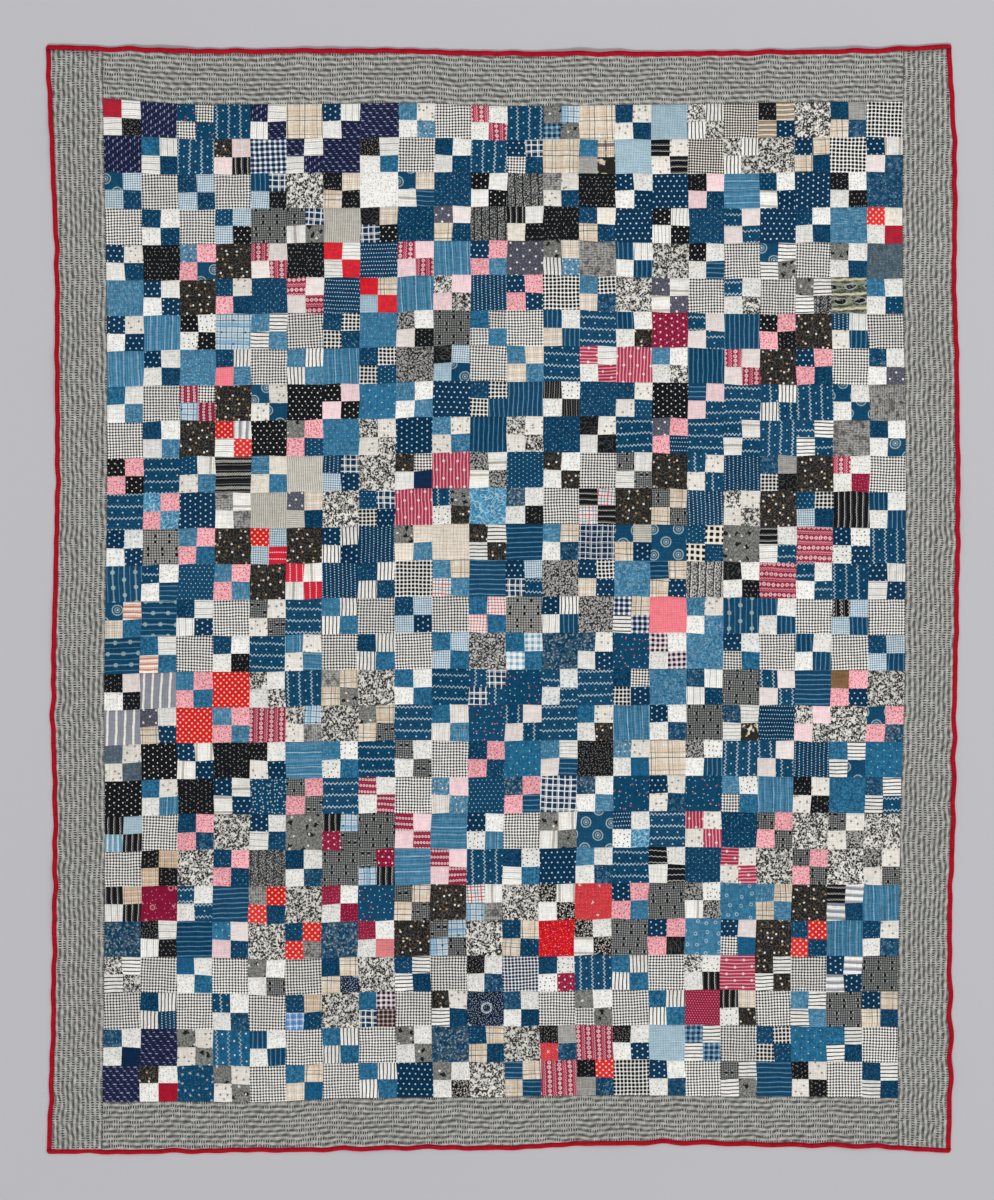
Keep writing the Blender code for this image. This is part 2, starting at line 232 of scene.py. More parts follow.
class Cloth:
    """One cotton as a material. Places on it are in millimetres, from the UV map of its cutting."""

    def __init__(self, name, ground, wave=1.1, wave_length=38):
        self.material = bpy.data.materials.new(name)
        self.material.use_nodes = True
        self.tree = self.material.node_tree
        self.shader = self.tree.nodes["Principled BSDF"]
        cut = self.add("UVMap", uv_map=CUT_MAP).outputs["UV"]
        flat = self.vector("MULTIPLY", cut, (MILLIMETRES, MILLIMETRES, 0))
        # Threads are never quite straight once a cloth is washed and sewn.
        bend = self.add("TexNoise", {"Vector": flat, "Scale": 1 / wave_length, "Detail": 1.5})
        gain = NOISE_GAIN * wave
        level = self.vector("ADD", flat, (-gain / 2, -gain / 2, 0))
        self.place = self.vector("MULTIPLY_ADD", bend.outputs["Color"], (gain, gain, 0), level)
        split = self.add("SeparateXYZ", {"Vector": self.place})
        self.across = split.outputs["X"]
        self.along = split.outputs["Y"]
        self.colour = self.add("RGB").outputs[0]
        self.colour.default_value = dye(ground)

    def add(self, kind, inputs=(), **settings):
        """A new shader node. An input that is another node's output is joined to it; others are set."""
        node = self.tree.nodes.new(f"ShaderNode{kind}")
        for key, value in settings.items():
            setattr(node, key, value)
        for key, value in dict(inputs).items():
            if isinstance(value, bpy.types.NodeSocket):
                self.tree.links.new(value, node.inputs[key])
            else:
                node.inputs[key].default_value = value
        return node

    def calc(self, operation, *values):
        """A number worked out from numbers and outputs."""
        return self.add("Math", enumerate(values), operation=operation).outputs[0]

    def vector(self, operation, *values):
        """The same for vectors."""
        return self.add("VectorMath", enumerate(values), operation=operation).outputs["Vector"]

    def both(self, *masks):
        """Where all of these masks are, as their product."""
        product, *others = masks
        for mask in others:
            product = self.calc("MULTIPLY", product, mask)
        return product

    def off_centre(self, x, y):
        """Distance of the point (x, y) from the origin."""
        off = self.add("CombineXYZ", {"X": x, "Y": y})
        return self.add("VectorMath", {0: off.outputs[0]}, operation="LENGTH").outputs["Value"]

    def off_line(self, place, pitch, start=0.0):
        """Distance to the nearest of the lines that lie a pitch apart."""
        return self.calc("PINGPONG", self.calc("SUBTRACT", place, start), pitch / 2)

    def staggered(self, place, step, rows_along, pitch, start=0.0):
        """A place that is half a step on in each second of the rows, which lie a pitch apart."""
        row = self.calc("MULTIPLY_ADD", rows_along, 1 / pitch, 0.5 - start / pitch)
        odd = self.calc("PINGPONG", self.calc("FLOOR", row), 1)
        return self.calc("MULTIPLY_ADD", odd, step / 2, place)

    def near(self, distance, reach, strength=1.0, soft=SOFT_EDGE):
        """strength where distance is under reach, falling to 0 over a soft edge."""
        ends = {"From Min": reach + soft, "From Max": reach - soft, "To Max": strength}
        return self.add("MapRange", {"Value": distance, **ends}).outputs["Result"]

    def striped(self, place, pitch, width, strength=1.0, start=0.0):
        """A mask of straight lines a pitch apart."""
        return self.near(self.off_line(place, pitch, start), width / 2, strength)

    def noise(self, size, detail=1.0, seed=0, stretch=(1, 1)):
        """Smooth noise from 0 to 1 with features of this size in millimetres."""
        place = self.vector("MULTIPLY", self.place, (stretch[0] / size, stretch[1] / size, 0))
        moved = self.vector("ADD", place, tuple(shift * seed for shift in NOISE_SHIFT))
        settings = {"Vector": moved, "Scale": 1.0, "Detail": detail}
        return self.add("TexNoise", settings).outputs["Fac"]

    def cells(self, pitch, loose, seed):
        """Distance in millimetres to the nearest of points strewn a pitch apart, and a number for each."""
        place = self.vector("ADD", self.place, (CELL_SHIFT * pitch * seed, 0, 0))
        settings = {"Vector": place, "Scale": 1 / pitch, "Randomness": loose}
        node = self.add("TexVoronoi", settings, voronoi_dimensions="2D")
        return self.calc("MULTIPLY", node.outputs["Distance"], pitch), node.outputs["Color"]

    def dyed(self, name, mask):
        """Prints a dye on the cloth where the mask says."""
        inputs = {"Fac": mask, "Color1": self.colour, "Color2": dye(name)}
        self.colour = self.add("MixRGB", inputs).outputs["Color"]

    def finish(self, slub=0.6, roughness=0.9, crinkle=0.6):
        """Adds fading, uneven threads, the weave's relief and the cotton's soft surface."""
        faded = self.add("Attribute", attribute_name="fade").outputs["Fac"]
        warp = self.noise(SLUB_SIZE, 2, 5, (SLUB_NARROW, SLUB_LONG))
        weft = self.noise(SLUB_SIZE, 2, 6, (SLUB_LONG, SLUB_NARROW))
        threads = self.calc("ADD", warp, weft)
        value = self.calc("MULTIPLY_ADD", faded, FADING, 1 - slub)
        value = self.calc("MULTIPLY_ADD", threads, slub, value)
        purity = self.calc("MULTIPLY_ADD", faded, -FADING * FADE_GREYING, 1.0)
        settings = {"Color": self.colour, "Value": value, "Saturation": purity}
        colour = self.add("HueSaturation", settings).outputs["Color"]
        self.tree.links.new(colour, self.shader.inputs["Base Color"])
        threads_both_ways = [self.calc("SINE", self.calc("MULTIPLY", place, math.tau / THREAD))
                             for place in (self.across, self.along)]
        weave = self.both(*threads_both_ways)
        creases = self.calc("MULTIPLY", self.noise(CREASE_SIZE, 3, 8), CREASE_HEIGHT)
        height = self.calc("MULTIPLY_ADD", weave, WEAVE_HEIGHT, creases)
        relief = self.add("Bump", {"Height": height, "Strength": crinkle, "Distance": RELIEF_DEPTH})
        self.tree.links.new(relief.outputs["Normal"], self.shader.inputs["Normal"])
        for name, share in {"Roughness": roughness, **SURFACE}.items():
            self.shader.inputs[name].default_value = share
        return self.material


# ---- Figures that are printed or woven ----
# Each gives a dye and a function that draws the masks of where it lies. Sizes are in millimetres, and
# a strength is a share of the full dye.
UNEVEN_SIZE = 8               # over which uneven spots change
RAGGED_SIZE = 0.55            # of the tears in a strewn figure's edge, as a share of the figure
LEAF_DETAIL, CURL_DETAIL = 1.5, 0.5
CURL_GAIN = 2.2               # millimetres that the noise's whole range stands for, in noise of size 1


def lines(colour, pitch, width, strength=1.0, start=0, swing=0, wave=8):
    """Straight or zigzag lines along the cloth."""
    def draw(cloth):
        place = cloth.across
        if swing:
            zigzag = cloth.calc("PINGPONG", cloth.along, wave / 2)
            zigzag = cloth.calc("MULTIPLY_ADD", zigzag, 4 * swing / wave, -swing)
            place = cloth.calc("ADD", place, zigzag)
        return [cloth.striped(place, pitch, width, strength, start)]
    return colour, draw


def bars(colour, pitch, width, strength=1.0, start=0):
    """Straight lines across the cloth."""
    def draw(cloth):
        return [cloth.striped(cloth.along, pitch, width, strength, start)]
    return colour, draw


def grid(colour, pitch, width, strength=1.0, start=0):
    """Straight lines both ways, which are printed one over the other."""
    def draw(cloth):
        return [cloth.striped(place, pitch, width, strength, start)
                for place in (cloth.across, cloth.along)]
    return colour, draw


def checks(colour, pitch, width, strength=1.0, start=0):
    """Squares where the lines of such a grid cross."""
    _, draw_grid = grid(colour, pitch, width, 1.0, start)

    def draw(cloth):
        return [cloth.both(*draw_grid(cloth), strength)]
    return colour, draw


def spots(colour, across, along, width, strength=1.0, start=(0, 0), length=None, hollow=0, uneven=0):
    """Round or long spots in rows, each second row half a step on; hollow ones are rings."""
    def draw(cloth):
        place = cloth.staggered(cloth.along, along, cloth.across, across, start[0])
        x = cloth.off_line(cloth.across, across, start[0])
        y = cloth.off_line(place, along, start[1])
        distance = cloth.off_centre(x, cloth.calc("MULTIPLY", y, width / (length or width)))
        if uneven:
            change = cloth.noise(UNEVEN_SIZE, 0, 2)
            change = cloth.calc("MULTIPLY_ADD", change, uneven, -uneven / 2)
            distance = cloth.calc("ADD", distance, change)
        if hollow:
            distance = cloth.calc("ABSOLUTE", cloth.calc("SUBTRACT", distance, (width - hollow) / 2))
        return [cloth.near(distance, (hollow or width) / 2, strength)]
    return colour, draw


def strewn(colour, pitch, size, strength=1.0, seed=0, loose=0.75, share=1.0, ragged=0.5):
    """Small figures strewn over the cloth; share is how many of the places hold one."""
    def draw(cloth):
        distance, number = cloth.cells(pitch, loose, seed)
        if ragged:
            rough = cloth.noise(size * RAGGED_SIZE, 0, seed + 2)
            distance = cloth.calc("MULTIPLY_ADD", rough, ragged * size, distance)
            distance = cloth.calc("ADD", distance, -0.5 * ragged * size)
        mask = cloth.near(distance, size / 2, strength)
        if share < 1:
            number = cloth.add("SeparateColor", {0: number}).outputs[0]
            mask = cloth.both(mask, cloth.calc("LESS_THAN", number, share))
        return [mask]
    return colour, draw


def rings(colour, pitch, radius, width, strength=1.0, loose=0.2):
    """Rings strewn over the cloth."""
    def draw(cloth):
        distance, _ = cloth.cells(pitch, loose, 0)
        off = cloth.calc("ABSOLUTE", cloth.calc("SUBTRACT", distance, radius))
        return [cloth.near(off, width / 2, strength)]
    return colour, draw


def leaves(colour, size, level=0.5, strength=1.0, seed=0, soft=0.02, stretch=(1, 1)):
    """A dense figured print: it covers more of the cloth the lower the level is."""
    def draw(cloth):
        shape = cloth.calc("SUBTRACT", 1, cloth.noise(size, LEAF_DETAIL, seed, stretch))
        return [cloth.near(shape, 1 - level, strength, soft)]
    return colour, draw


def curls(colour, size, width, strength=1.0, seed=0):
    """Thin winding lines."""
    def draw(cloth):
        off = cloth.calc("SUBTRACT", cloth.noise(size, CURL_DETAIL, seed), 0.5)
        off = cloth.calc("MULTIPLY", cloth.calc("ABSOLUTE", off), CURL_GAIN * size)
        return [cloth.near(off, width / 2, strength)]
    return colour, draw


def make_cloth(name, ground, *details):
    """A cotton from its row of the table below, whose last entry may say how it is finished."""
    finish = details[-1] if details and isinstance(details[-1], dict) else {}
    cloth = Cloth(name, ground)
    for figure, draw in details[:-1] if finish else details:
        for mask in draw(cloth):
            cloth.dyed(figure, mask)
    return cloth.finish(**finish)


# ---- The scrap bag ----
WORN = dict(slub=0.9)         # threads that show unevenly after years of washing
CHAMBRAY = dict(slub=1.2)     # a cloth whose threads differ in colour

# The sprigs of a grey cotton that was also printed on a drab ground: a black middle on a pale leaf.
SPRIGS = [spots(colour, 14.8, 54, width, start=(0, down), length=length, uneven=1.5)
          for down in (0, 13)
          for colour, width, length in (("chalk", 10.6, 4.4), ("black", 6.4, 7.4))]

# Each row gives a cotton's short code in the plan below, its name, the dye of its ground and the
# figures on it, first to last.
CLOTHS = {
    # whites, creams and tans
    "W0": ("white_plain", "white", grid("fog", 9.5, 0.9, 0.3), leaves("fog", 6, 0.58, 0.2, 2, 0.1)),
    "WS": ("white_sprig", "white", strewn("fog", 7.4, 3.2, 0.5, loose=0.9, share=0.8),
           strewn("iron", 9.5, 1.7, 0.7, seed=3, loose=0.9, share=0.7)),
    "WL": ("white_line", "white", lines("ash", 13.5, 1.6, swing=0.3, wave=5), lines("fog", 4.5, 1, 0.4)),
    "WQ": ("white_brown_pinstripe", "white", lines("umber", 7.6, 1.5, 0.6)),
    "WP": ("white_pinstripe", "white", lines("fog", 7.9, 3, 0.22), lines("soot", 7.9, 2.2)),
    "WT": ("white_tan_stripe", "white", lines("taupe", 31, 3.8, 0.9, 15),
           lines("brown", 31, 1.2, 0.7, 17.6), lines("sand", 31, 1.8, 0.7, 8.5),
           lines("tan", 31, 1.2, 0.5, 22.5)),
    "WO": ("white_orange_stripe", "white", lines("orange", 13, 1.3, 0.5, 2), lines("tan", 26, 1.8, 0.6, 6),
           lines("fog", 26, 1.4, 0.4, 20)),
    "WK": ("white_black_speck", "white", strewn("black", 9.6, 2.9, 0.9, loose=0.6)),
    "WG": ("white_lilac_stripe", "white", lines("lilac_grey", 14.6, 6.2, 0.95),
           lines("grey", 14.6, 1, 0.7, 4.4)),
    "WB": ("white_lilac_sprig", "white", strewn("periwinkle", 9.5, 4, 0.55, ragged=1.2),
           strewn("slate", 10, 1.3, 0.5, seed=4)),
    "WX": ("white_windowpane", "white", grid("lead", 15, 1, 0.4)),
    "CS": ("cream_sprig", "milk", grid("fog", 8.6, 0.9, 0.25),
           strewn("fog", 15, 5, 0.8, loose=0.8, share=0.8, ragged=0.9),
           strewn("soot", 15, 2, 0.8, loose=0.8, share=0.8)),
    "C0": ("cream_plain", "ecru", leaves("fog", 9, 0.6, 0.3, 3, 0.1)),
    "PL": ("pearl_plain", "ash", bars("fog", 4.4, 1.5, 0.6), CHAMBRAY),
    "LG": ("white_blue_gingham", "white", grid("sky", 12.8, 5.6, 0.38), checks("sky", 12.8, 5.6, 0.85)),
    "LW": ("pale_blue_stripe", "ice", lines("sky", 11, 4, 0.7), lines("white", 11, 2.6, 0.8, 5.4),
           lines("blue", 11, 1.2, 0.7, 8)),
    "RO": ("cream_orange_stripe", "white", lines("orange", 11.5, 4.4, 0.9),
           lines("orange", 11.5, 1.6, 0.8, 4)),
    "TP": ("tan_plaid", "ecru", lines("tan", 37, 12, 0.45, 20), bars("tan", 37, 12, 0.45, 22),
           grid("umber", 5.2, 1.4, 0.3), grid("sand", 11, 6, 0.5, 3), lines("umber", 37, 1.6, 0.8, 2),
           lines("umber", 37, 1.4, 0.7, 10), bars("bark", 37, 1.8, 0.8, 4),
           bars("umber", 37, 1.6, 0.7, 15)),
    "TB": ("cream_orange_blue_plaid", "sand", lines("tan", 12, 5, 0.6), bars("orange", 14.5, 2.4, 0.5),
           bars("teal", 14.5, 2.2, 0.55, 5), lines("umber", 6, 1.3, 0.5, 4),
           bars("tan", 14.5, 3.6, 0.6, 10)),
    "TX": ("cream_maroon_plaid", "ecru", lines("maroon", 19, 5, 0.7, 3), bars("maroon", 30, 7.5, 0.8, 6),
           grid("umber", 4.8, 1.5, 0.55), bars("tan", 30, 8, 0.6, 20)),
    "TC": ("tan_gingham", "milk", grid("tan", 8.6, 3.4, 0.42), grid("umber", 17.2, 1.1, 0.6, 4.3)),
    "TW": ("peach_windowpane", "ecru", grid("tan", 7.4, 1.8, 0.45), grid("blush", 7.4, 1.2, 0.5, 3.7)),
    "TS": ("tan_stripe", "sand", lines("brown", 10.4, 3.6, 0.8), lines("coal", 10.4, 1.9, 0.85, 3.4)),
    "DS": ("drab_fine_stripe", "pearl_drab", lines("fog", 4.6, 1.5, 0.6),
           lines("milk", 4.6, 1.2, 0.7, 2.3)),
    "KD": ("cream_big_dot", "ecru", grid("fog", 12.2, 4.4, 0.18), checks("coal", 12.2, 7.4)),
    "FL": ("black_leaf_on_cream", "milk", leaves("ash", 5, 0.49, 0.85, 1, 0.05),
           leaves("black", 3.6, 0.498, 0.95, 2, 0.03), leaves("milk", 10, 0.58, 0.85, 6, 0.03),
           strewn("black", 6.8, 3, 0.95, seed=3, loose=1, share=0.6, ragged=1.2)),
    "GC": ("brown_black_check", "white", grid("bark", 6.2, 1.7, 0.7), checks("bark", 6.2, 3.5)),
    "GE": ("drab_black_check", "milk", grid("bark", 5.6, 1.8, 0.7), checks("bark", 5.6, 3.8)),
    "GB": ("black_check", "white", grid("soot", 8.1, 3.4, 0.38), checks("coal", 8.1, 5.6)),
    # greys and blacks
    "GS": ("grey_square_sprig", "lead", grid("ash", 4.8, 1.5, 0.5), grid("coal", 4.8, 1.3, 0.5, 2.4),
           *SPRIGS),
    "GD": ("drab_square_sprig", "drab_grey", grid("pearl", 5.4, 1.8, 0.6),
           grid("iron", 5.4, 1.6, 0.75, 2.7), *SPRIGS),
    "GV": ("black_white_lace_stripe", "pearl", leaves("soot", 3.4, 0.49, 0.9, 3, 0.03),
           lines("coal", 16.2, 2.2, 0.95, 4), lines("milk", 16.2, 1.4, 0.6, 7)),
    "GL": ("grey_lace_stripe", "iron", leaves("pearl", 2.7, 0.575, 0.85, 4, 0.04),
           lines("coal", 16.3, 3, 0.95), lines("coal", 16.3, 1.2, 0.5, 8),
           spots("pearl", 8.1, 7, 2.2, 0.5, start=(4, 0))),
    "GF": ("grey_fine_weave", "ash", leaves("coal", 3.4, 0.52, 0.6, 2, 0.06), lines("iron", 6.6, 1.6, 0.45),
           bars("pearl", 5, 1.4, 0.5), leaves("soot", 11, 0.58, 0.6, 5, 0.05)),
    "GP": ("plum_grey_dot", "plum_grey", strewn("coal", 6, 2, 0.4), strewn("ash", 8, 2, 0.7, seed=3),
           spots("milk", 13.4, 27, 4.4)),
    "GT": ("taupe_leaf", "ash", leaves("coal", 3.6, 0.505, 0.95, 1, 0.03), curls("coal", 8, 1.2, 0.7, 4),
           strewn("pearl", 7, 2.8, 0.85, seed=3), lines("coal", 43, 1.6, 0.8, 9)),
    "GM": ("grey_figured", "grey", leaves("iron", 3.2, 0.53, 0.6, 1, 0.05),
           leaves("ash", 3.6, 0.55, 0.6, 4, 0.05),
           strewn("coal", 25, 8.4, 0.95, seed=3, loose=0.7, share=0.9, ragged=1.3),
           strewn("milk", 31, 4.8, 0.85, seed=5, loose=0.7, share=0.9, ragged=0.8)),
    "GK": ("grey_small_figure", "fog", leaves("coal", 4, 0.455, 1, 1, 0.03),
           strewn("milk", 7.4, 2.2, seed=2)),
    "GR": ("grey_paisley", "pearl", leaves("iron", 6, 0.53, 0.55, 1), rings("coal", 15, 3.8, 2, loose=0.5),
           curls("coal", 8, 2, 0.9, 3)),
    "GW": ("lilac_grey_band", "lilac_grey", lines("iron", 4.6, 0.9, 0.25), lines("milk", 18.4, 4.4)),
    "KT": ("black_pin_dot", "black", spots("ash", 8.4, 9.7, 2.5, 0.55, uneven=2.4),
           strewn("milk", 11, 1.3, 0.7, seed=4, loose=0.8, share=0.7, ragged=0), WORN),
    "KW": ("black_white_dot", "black", spots("milk", 9.2, 13, 2.7, 0.95, uneven=1),
           strewn("ash", 14, 1.8, 0.6, seed=5, loose=0.9, share=0.8), WORN),
    "KS": ("black_white_stripe", "black", lines("milk", 12.8, 1.1, 0.8, swing=0.6, wave=6),
           lines("ash", 12.8, 0.8, 0.4, 2.6, swing=0.6, wave=5), WORN),
    "KZ": ("black_wavy_line", "black", lines("milk", 12.6, 1.3, 0.65, swing=1, wave=9), WORN),
    "KG": ("black_gold_dot", "soot", leaves("black", 7, 0.5, 0.6, 5, 0.05), curls("fog", 6.5, 0.8, 0.32, 7),
           strewn("gold", 21, 4.2, 0.85, seed=1, loose=0.8, share=0.85, ragged=0.2),
           strewn("milk", 22, 4.2, 0.95, seed=2, loose=0.8, share=0.9, ragged=0.2), WORN),
    "K0": ("black_plain", "black", curls("grey", 9, 1.4, 0.32, 3), strewn("fog", 13, 1.8, 0.2, seed=2),
           WORN),
    "KX": ("black_lattice", "black", lines("ash", 28, 1.4, 0.6, 8), lines("ash", 28, 1.4, 0.6, -8),
           lines("milk", 28, 1.4, 0.85, swing=2.8, wave=6.8),
           lines("milk", 28, 1.4, 0.85, swing=-2.8, wave=6.8), lines("iron", 28, 1.2, 0.6, 13), WORN),
    "KB": ("black_brown_stripe", "black", lines("ash", 10.4, 1.6, 0.6, swing=0.6, wave=6),
           lines("ash", 10.4, 1, 0.4, 5.2), WORN),
    "KP": ("black_speck", "black", strewn("ash", 5.6, 1.9, 0.62, ragged=0.9),
           strewn("fog", 7.4, 1.6, 0.5, seed=3), WORN),
    "KF": ("black_white_leaf", "black", lines("milk", 17, 1.5, 0.7, 5, swing=2, wave=9),
           lines("ash", 17, 1, 0.7, 12.4), spots("milk", 17, 9, 2.8, 0.6, start=(8, 2), length=4.8), WORN),
    "BN": ("brown_plain", "brown", bars("umber", 6, 2, 0.3), CHAMBRAY),
    "OG": ("olive_figured", "olive", leaves("iron", 13, 0.5, 0.9, 1, 0.04, stretch=(1.4, 0.4)),
           leaves("leaf", 9, 0.56, 0.9, 3, 0.04, stretch=(1.5, 0.5)),
           lines("straw", 31, 4.6, 0.9, 22, swing=0.8, wave=23),
           spots("pearl", 31, 42, 14, 0.8, start=(7, 14), length=27, hollow=2, uneven=3.5),
           spots("coal", 31, 42, 9, start=(7, 14), length=23, uneven=6),
           leaves("lilac_grey", 4.5, 0.6, 0.7, 6)),
    "BY": ("black_straw_patch", "sand", leaves("straw", 6, 0.5, 0.8, 1, 0.05),
           leaves("coal", 16, 0.42, 0.97, 2), leaves("bark", 6, 0.57, 0.7, 5, 0.04)),
    # navy and indigo
    "ND": ("navy_short_dash", "navy", spots("mist", 9, 15, 2.4, 0.9, length=6.4, uneven=1.8),
           spots("mist", 9, 15, 1.6, 0.55, start=(4.5, 3.8), length=2.4, uneven=1.2), WORN),
    "N0": ("ink_plain", "ink", WORN),
    "IZ": ("indigo_zigzag", "indigo", lines("frost", 25, 2.4, 0.75, swing=2.2, wave=8.2),
           strewn("deep_indigo", 9, 4, 0.5, seed=5),
           spots("pale_indigo", 12.5, 11, 1.6, 0.35, start=(6, 3)),
           spots("frost", 25, 22, 3.2, 0.85, start=(12.5, 5)), WORN),
    "IP": ("indigo_polka_dot", "deep_indigo", spots("frost", 10.7, 12.4, 3.2, 0.95, uneven=0.9), WORN),
    "ID": ("indigo_small_dot", "indigo", spots("frost", 8.2, 9.5, 2, 0.8, uneven=1), WORN),
    "IT": ("indigo_pin_dot", "indigo", leaves("deep_indigo", 6, 0.5, 0.8, 4, 0.08),
           spots("pale_indigo", 7.4, 12.4, 2.4, 0.5, uneven=1.2),
           strewn("frost", 12, 1.5, 0.8, seed=4, loose=0.9, share=0.8, ragged=0), WORN),
    "I0": ("indigo_plain", "indigo", leaves("deep_indigo", 5, 0.5, 1, 4, 0.08),
           strewn("pale_indigo", 8, 1.6, 0.5, ragged=0.8), CHAMBRAY),
    "IN": ("indigo_strewn_dot", "indigo", strewn("frost", 7.8, 2.7, 0.9, seed=1, loose=0.8), WORN),
    "IR": ("indigo_red_sprig", "indigo", strewn("raspberry", 18, 3.1, 0.95, loose=0.7, share=0.6),
           strewn("frost", 12.5, 2.2, 0.85, seed=3, loose=0.7, share=0.9), WORN),
    "IC": ("indigo_big_ring", "indigo", spots("pale_indigo", 27, 53, 19, 0.12, start=(8, 9)),
           spots("sage", 27, 53, 23, 0.85, start=(8, 9), hollow=2.2),
           spots("sage", 27, 53, 12, 0.6, start=(8, 9), hollow=2),
           spots("frost", 27, 53, 3.6, 0.8, start=(8, 9)),
           strewn("pale_indigo", 8.4, 1.1, 0.3, loose=0.5, ragged=0), WORN),
    "IL": ("indigo_pinstripe", "indigo", lines("pale_indigo", 10.2, 1.5, 0.75),
           lines("deep_indigo", 10.2, 2.4, 0.6, 5.1), WORN),
    "IB": ("indigo_bead_stripe", "deep_indigo", leaves("indigo", 6, 0.5, 0.8, 4, 0.1),
           spots("frost", 8.6, 5.4, 2.4, 0.82), WORN),
    "IF": ("indigo_faint_lace", "indigo", leaves("deep_indigo", 8, 0.48, 0.6, 5, 0.08),
           curls("pale_indigo", 7, 1.2, 0.22, 2),
           strewn("pale_indigo", 19, 9, 0.28, seed=2, loose=0.6, share=0.7, ragged=1.6),
           strewn("frost", 9, 2, 0.5, seed=3, loose=0.9, share=0.5), WORN),
    "IY": ("indigo_daisy_stripe", "indigo", lines("frost", 24, 0.9, 0.55, 12.8),
           lines("frost", 24, 0.9, 0.55, 11.2), lines("pale_indigo", 24, 1.6, 0.5),
           spots("sage", 24, 32, 9, 0.8, start=(12, 4), hollow=2.6),
           spots("sage", 24, 32, 4, 0.7, start=(12, 4)), WORN),
    "IG": ("indigo_grey_floral", "indigo", leaves("deep_indigo", 9, 0.5, 0.8, 3, 0.05),
           leaves("slate", 8, 0.53, 0.6, 2, 0.06), leaves("sage", 5, 0.6, 0.6, 4, 0.04), WORN),
    "IJ": ("indigo_leaf_sprig", "indigo", strewn("frost", 15, 4.4, 0.55, loose=0.7, share=0.8, ragged=1.4),
           strewn("pale_indigo", 8, 1.8, 0.5, seed=3), WORN),
    "IS": ("navy_dense_speck", "ink", leaves("coal", 6, 0.5, 0.7, 2, 0.05),
           strewn("frost", 3.9, 1.5, 0.8, loose=1),
           spots("frost", 45, 80, 24, 0.75, start=(14, 14), hollow=4.4),
           strewn("ink", 4.4, 2.1, 0.9, seed=4, loose=0.8)),
    # lighter blues
    "MB": ("blue_chambray", "blue", leaves("ice", 5, 0.55, 0.45, 3, 0.06, stretch=(0.5, 1.5)),
           bars("ice", 37, 1, 0.5, 9), leaves("teal", 6, 0.5, 0.45, 5, 0.08),
           strewn("frost", 11, 1.4, 0.5, seed=1, loose=0.9), CHAMBRAY),
    "MT": ("blue_pin_dot", "blue", leaves("teal", 5, 0.48, 0.6, 5, 0.08),
           spots("ice", 8.4, 14.6, 2.2, 0.65, uneven=1.2), CHAMBRAY),
    "MW": ("blue_white_sprig", "blue", leaves("teal", 6, 0.52, 0.35, 5, 0.08),
           leaves("frost", 5, 0.52, 0.22, 6, 0.08), strewn("milk", 13.5, 3.1, 0.9, loose=0.5, ragged=0.7),
           strewn("frost", 8, 1.3, 0.45, seed=2, loose=0.9), CHAMBRAY),
    "MS": ("cadet_streak", "blue", lines("frost", 15.5, 1.6, 0.5, swing=0.5, wave=7),
           lines("teal", 6.4, 3, 0.6, 2), lines("ice", 9.1, 0.9, 0.45, 4), CHAMBRAY),
    "MG": ("blue_faint_sprig", "blue", strewn("frost", 9.5, 2.6, 0.35, ragged=1.2),
           strewn("indigo", 8.5, 3, 0.6, seed=6), CHAMBRAY),
    "MF": ("blue_scroll", "blue", leaves("teal", 5, 0.5, 0.7, 5, 0.05), curls("ice", 8, 1.2, 0.5, 2),
           strewn("frost", 12, 1.6, 0.4), CHAMBRAY),
    "MZ": ("blue_rickrack", "teal", lines("milk", 25, 1.8, 0.85, swing=2.6, wave=9),
           leaves("indigo", 6, 0.47, 0.55, 5, 0.08), spots("milk", 25, 30, 3.6, start=(12.5, 8)), WORN),
    "MO": ("blue_ring_flower", "blue", leaves("teal", 6, 0.5, 0.5, 5, 0.08),
           rings("frost", 22, 3.1, 1.3, 0.7, loose=0.5), CHAMBRAY),
    "TE": ("teal_plain", "teal", leaves("blue", 5, 0.5, 0.6, 3, 0.06),
           leaves("indigo", 6, 0.52, 0.6, 6, 0.06), strewn("ice", 9, 1.5, 0.5), CHAMBRAY),
    "T0": ("deep_teal_plain", "petrol", leaves("indigo", 6, 0.5, 0.5, 4, 0.08),
           strewn("pale_indigo", 13, 1.4, 0.4), CHAMBRAY),
    "TD": ("teal_sparse_dot", "teal", leaves("blue", 6, 0.5, 0.45, 4, 0.08),
           spots("milk", 13.4, 24.5, 2.5, 0.7), CHAMBRAY),
    "SB": ("pale_blue_chambray", "ice", grid("frost", 5.2, 1.3, 0.4)),
    "SC": ("sky_scroll", "sky", leaves("teal", 6, 0.5, 0.7, 5, 0.06), curls("frost", 9, 1.4, 0.6, 1),
           strewn("frost", 8, 1.2, 0.3)),
    "SL": ("slate_plain", "slate", leaves("fog", 5, 0.55, 0.35, 4, 0.06), bars("pine", 7, 3, 0.3),
           CHAMBRAY),
    "BW": ("periwinkle_plaid", "periwinkle", grid("white", 14, 2, 0.7), grid("denim", 14, 3.4, 0.35, 6)),
    "LC": ("ice_check", "frost", grid("teal", 4.9, 1.6, 0.45), checks("teal", 4.9, 2.4, 0.7)),
    "LP": ("ice_plaid", "ice", grid("white", 6.2, 2.3, 0.42), grid("denim", 12.4, 1.5, 0.85, 3.1),
           lines("sky", 37, 9, 0.5, 9), spots("ink", 24.8, 50, 4.4, 0.9, start=(3.1, 8))),
    "BG": ("navy_gingham", "white", grid("denim", 11, 5.6, 0.8), checks("ink", 11, 6.8)),
    "BS": ("small_navy_gingham", "white", grid("slate", 7, 3.6, 0.6), checks("ink", 7, 4.8)),
    "BH": ("blurred_gingham", "ice", grid("denim", 11, 5.6, 0.75), checks("ink", 11, 6.6),
           leaves("cadet", 8, 0.56, 0.4, 3, 0.1)),
